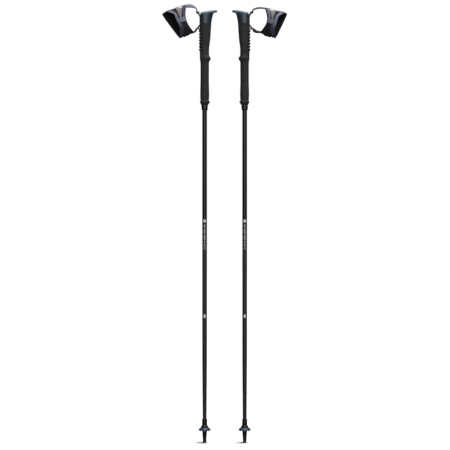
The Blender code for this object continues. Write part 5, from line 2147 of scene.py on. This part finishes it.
@dataclass
class Studio:
    """A plain pale floor, soft light and the camera.

    Sizes in metres.
    """

    distance: float = 4.0
    height: float = 0.6035
    aside: float = 0.001
    view_width: float = 1.247
    sensor: float = 36.0

    def camera(self) -> None:
        """A level camera straight in front, whose lens frames the view's width."""
        data = bpy.data.cameras.new("camera")
        data.sensor_width = self.sensor
        data.lens = self.sensor * self.distance / self.view_width
        data.clip_end = 60.0
        made = bpy.data.objects.new("camera", data)
        made.location = (self.aside, -self.distance, self.height)
        made.rotation_euler = (math.radians(90), 0, 0)
        bpy.context.scene.collection.objects.link(made)
        bpy.context.scene.camera = made

    def floor(self) -> None:
        """A wide white floor, matt like paper, that throws no light back on the poles."""
        half_x, near, far = 12.0, -1.2, 14.0
        mesh = bpy.data.meshes.new("floor")
        mesh.from_pydata(
            [(-half_x, near, 0), (half_x, near, 0), (half_x, far, 0), (-half_x, far, 0)], [],
            [(0, 1, 2, 3)],
        )
        paper = bpy.data.materials.new("white paper")
        paper.use_nodes = True
        shader = paper.node_tree.nodes["Principled BSDF"]
        shader.inputs["Base Color"].default_value = (0.93, 0.93, 0.93, 1)
        shader.inputs["Roughness"].default_value = 0.9
        shader.inputs["Specular IOR Level"].default_value = 0.0
        mesh.materials.append(paper)
        made = bpy.data.objects.new("floor", mesh)
        bpy.context.scene.collection.objects.link(made)
        made.visible_glossy = False
        made.visible_diffuse = False

    def lamp(
        self, name: str, kind: str, place: tuple[float, float, float],
        target: tuple[float, float, float], energy: float, size: tuple[float, float],
    ) -> None:
        """Adds a light.

        Args:
            name: its name.
            kind: AREA or SUN.
            place: where it stands.
            target: what it points at.
            energy: watts, or watts per square metre for a sun.
            size: width and height of an area, or the sun's angle in degrees twice.
        """
        data = bpy.data.lights.new(name, kind)
        data.energy = energy
        if kind == "AREA":
            data.shape = "RECTANGLE"
            data.size, data.size_y = size
        else:
            data.angle = math.radians(size[0])
        made = bpy.data.objects.new(name, data)
        made.location = place
        aim = Vector(target) - Vector(place)
        made.rotation_euler = aim.to_track_quat("-Z", "Y").to_euler()
        bpy.context.scene.collection.objects.link(made)

    def world(self) -> None:
        """White where the camera looks past the floor, and a dim grey as light."""
        world = bpy.data.worlds.new("studio")
        world.use_nodes = True
        bpy.context.scene.world = world
        tree = world.node_tree
        tree.nodes.clear()
        seen = add_node(tree, "ShaderNodeBackground", {"Color": (1, 1, 1, 1), "Strength": 1.0})
        fill = add_node(
            tree, "ShaderNodeBackground", {"Color": (0.93, 0.96, 1.0, 1), "Strength": 0.06}
        )
        path = add_node(tree, "ShaderNodeLightPath")
        mix = add_node(
            tree, "ShaderNodeMixShader", {},
            {0: path.outputs["Is Camera Ray"], 1: fill.outputs[0], 2: seen.outputs[0]},
        )
        add_node(tree, "ShaderNodeOutputWorld", {}, {"Surface": mix.outputs[0]})

    def build(self) -> None:
        """Sets up the camera, the floor, the lamps and the world."""
        self.camera()
        self.floor()
        self.lamp("overhead", "SUN", (0.6, -0.1, 3.0), (0, 0, 0), 3.5, (38.0, 38.0))
        self.lamp("front", "AREA", (0.3, -3.2, 1.5), (0, 0, 0.75), 46.0, (1.5, 1.6))
        self.lamp("back", "AREA", (-0.6, 3.2, 1.6), (0, 0, 0.7), 5.0, (1.2, 1.6))
        self.world()
        scene = bpy.context.scene
        scene.view_settings.view_transform = "Standard"
        scene.view_settings.look = "None"


# ---------------------------------------------------------------- the pair


def main() -> None:
    """Builds the studio and both poles, and reports each piece."""
    logging.basicConfig(level=logging.INFO, format="%(name)s: %(message)s")
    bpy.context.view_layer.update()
    Studio().build()
    for side in Side:
        pole = Pole.of(side)
        for part in (Shaft(), Grip(), Cap(), ButtonSpring(), HandStrap.of(side), Foot(),
                     KeptPieces()):
            part.build(pole)


if __name__ == "__main__":
    main()
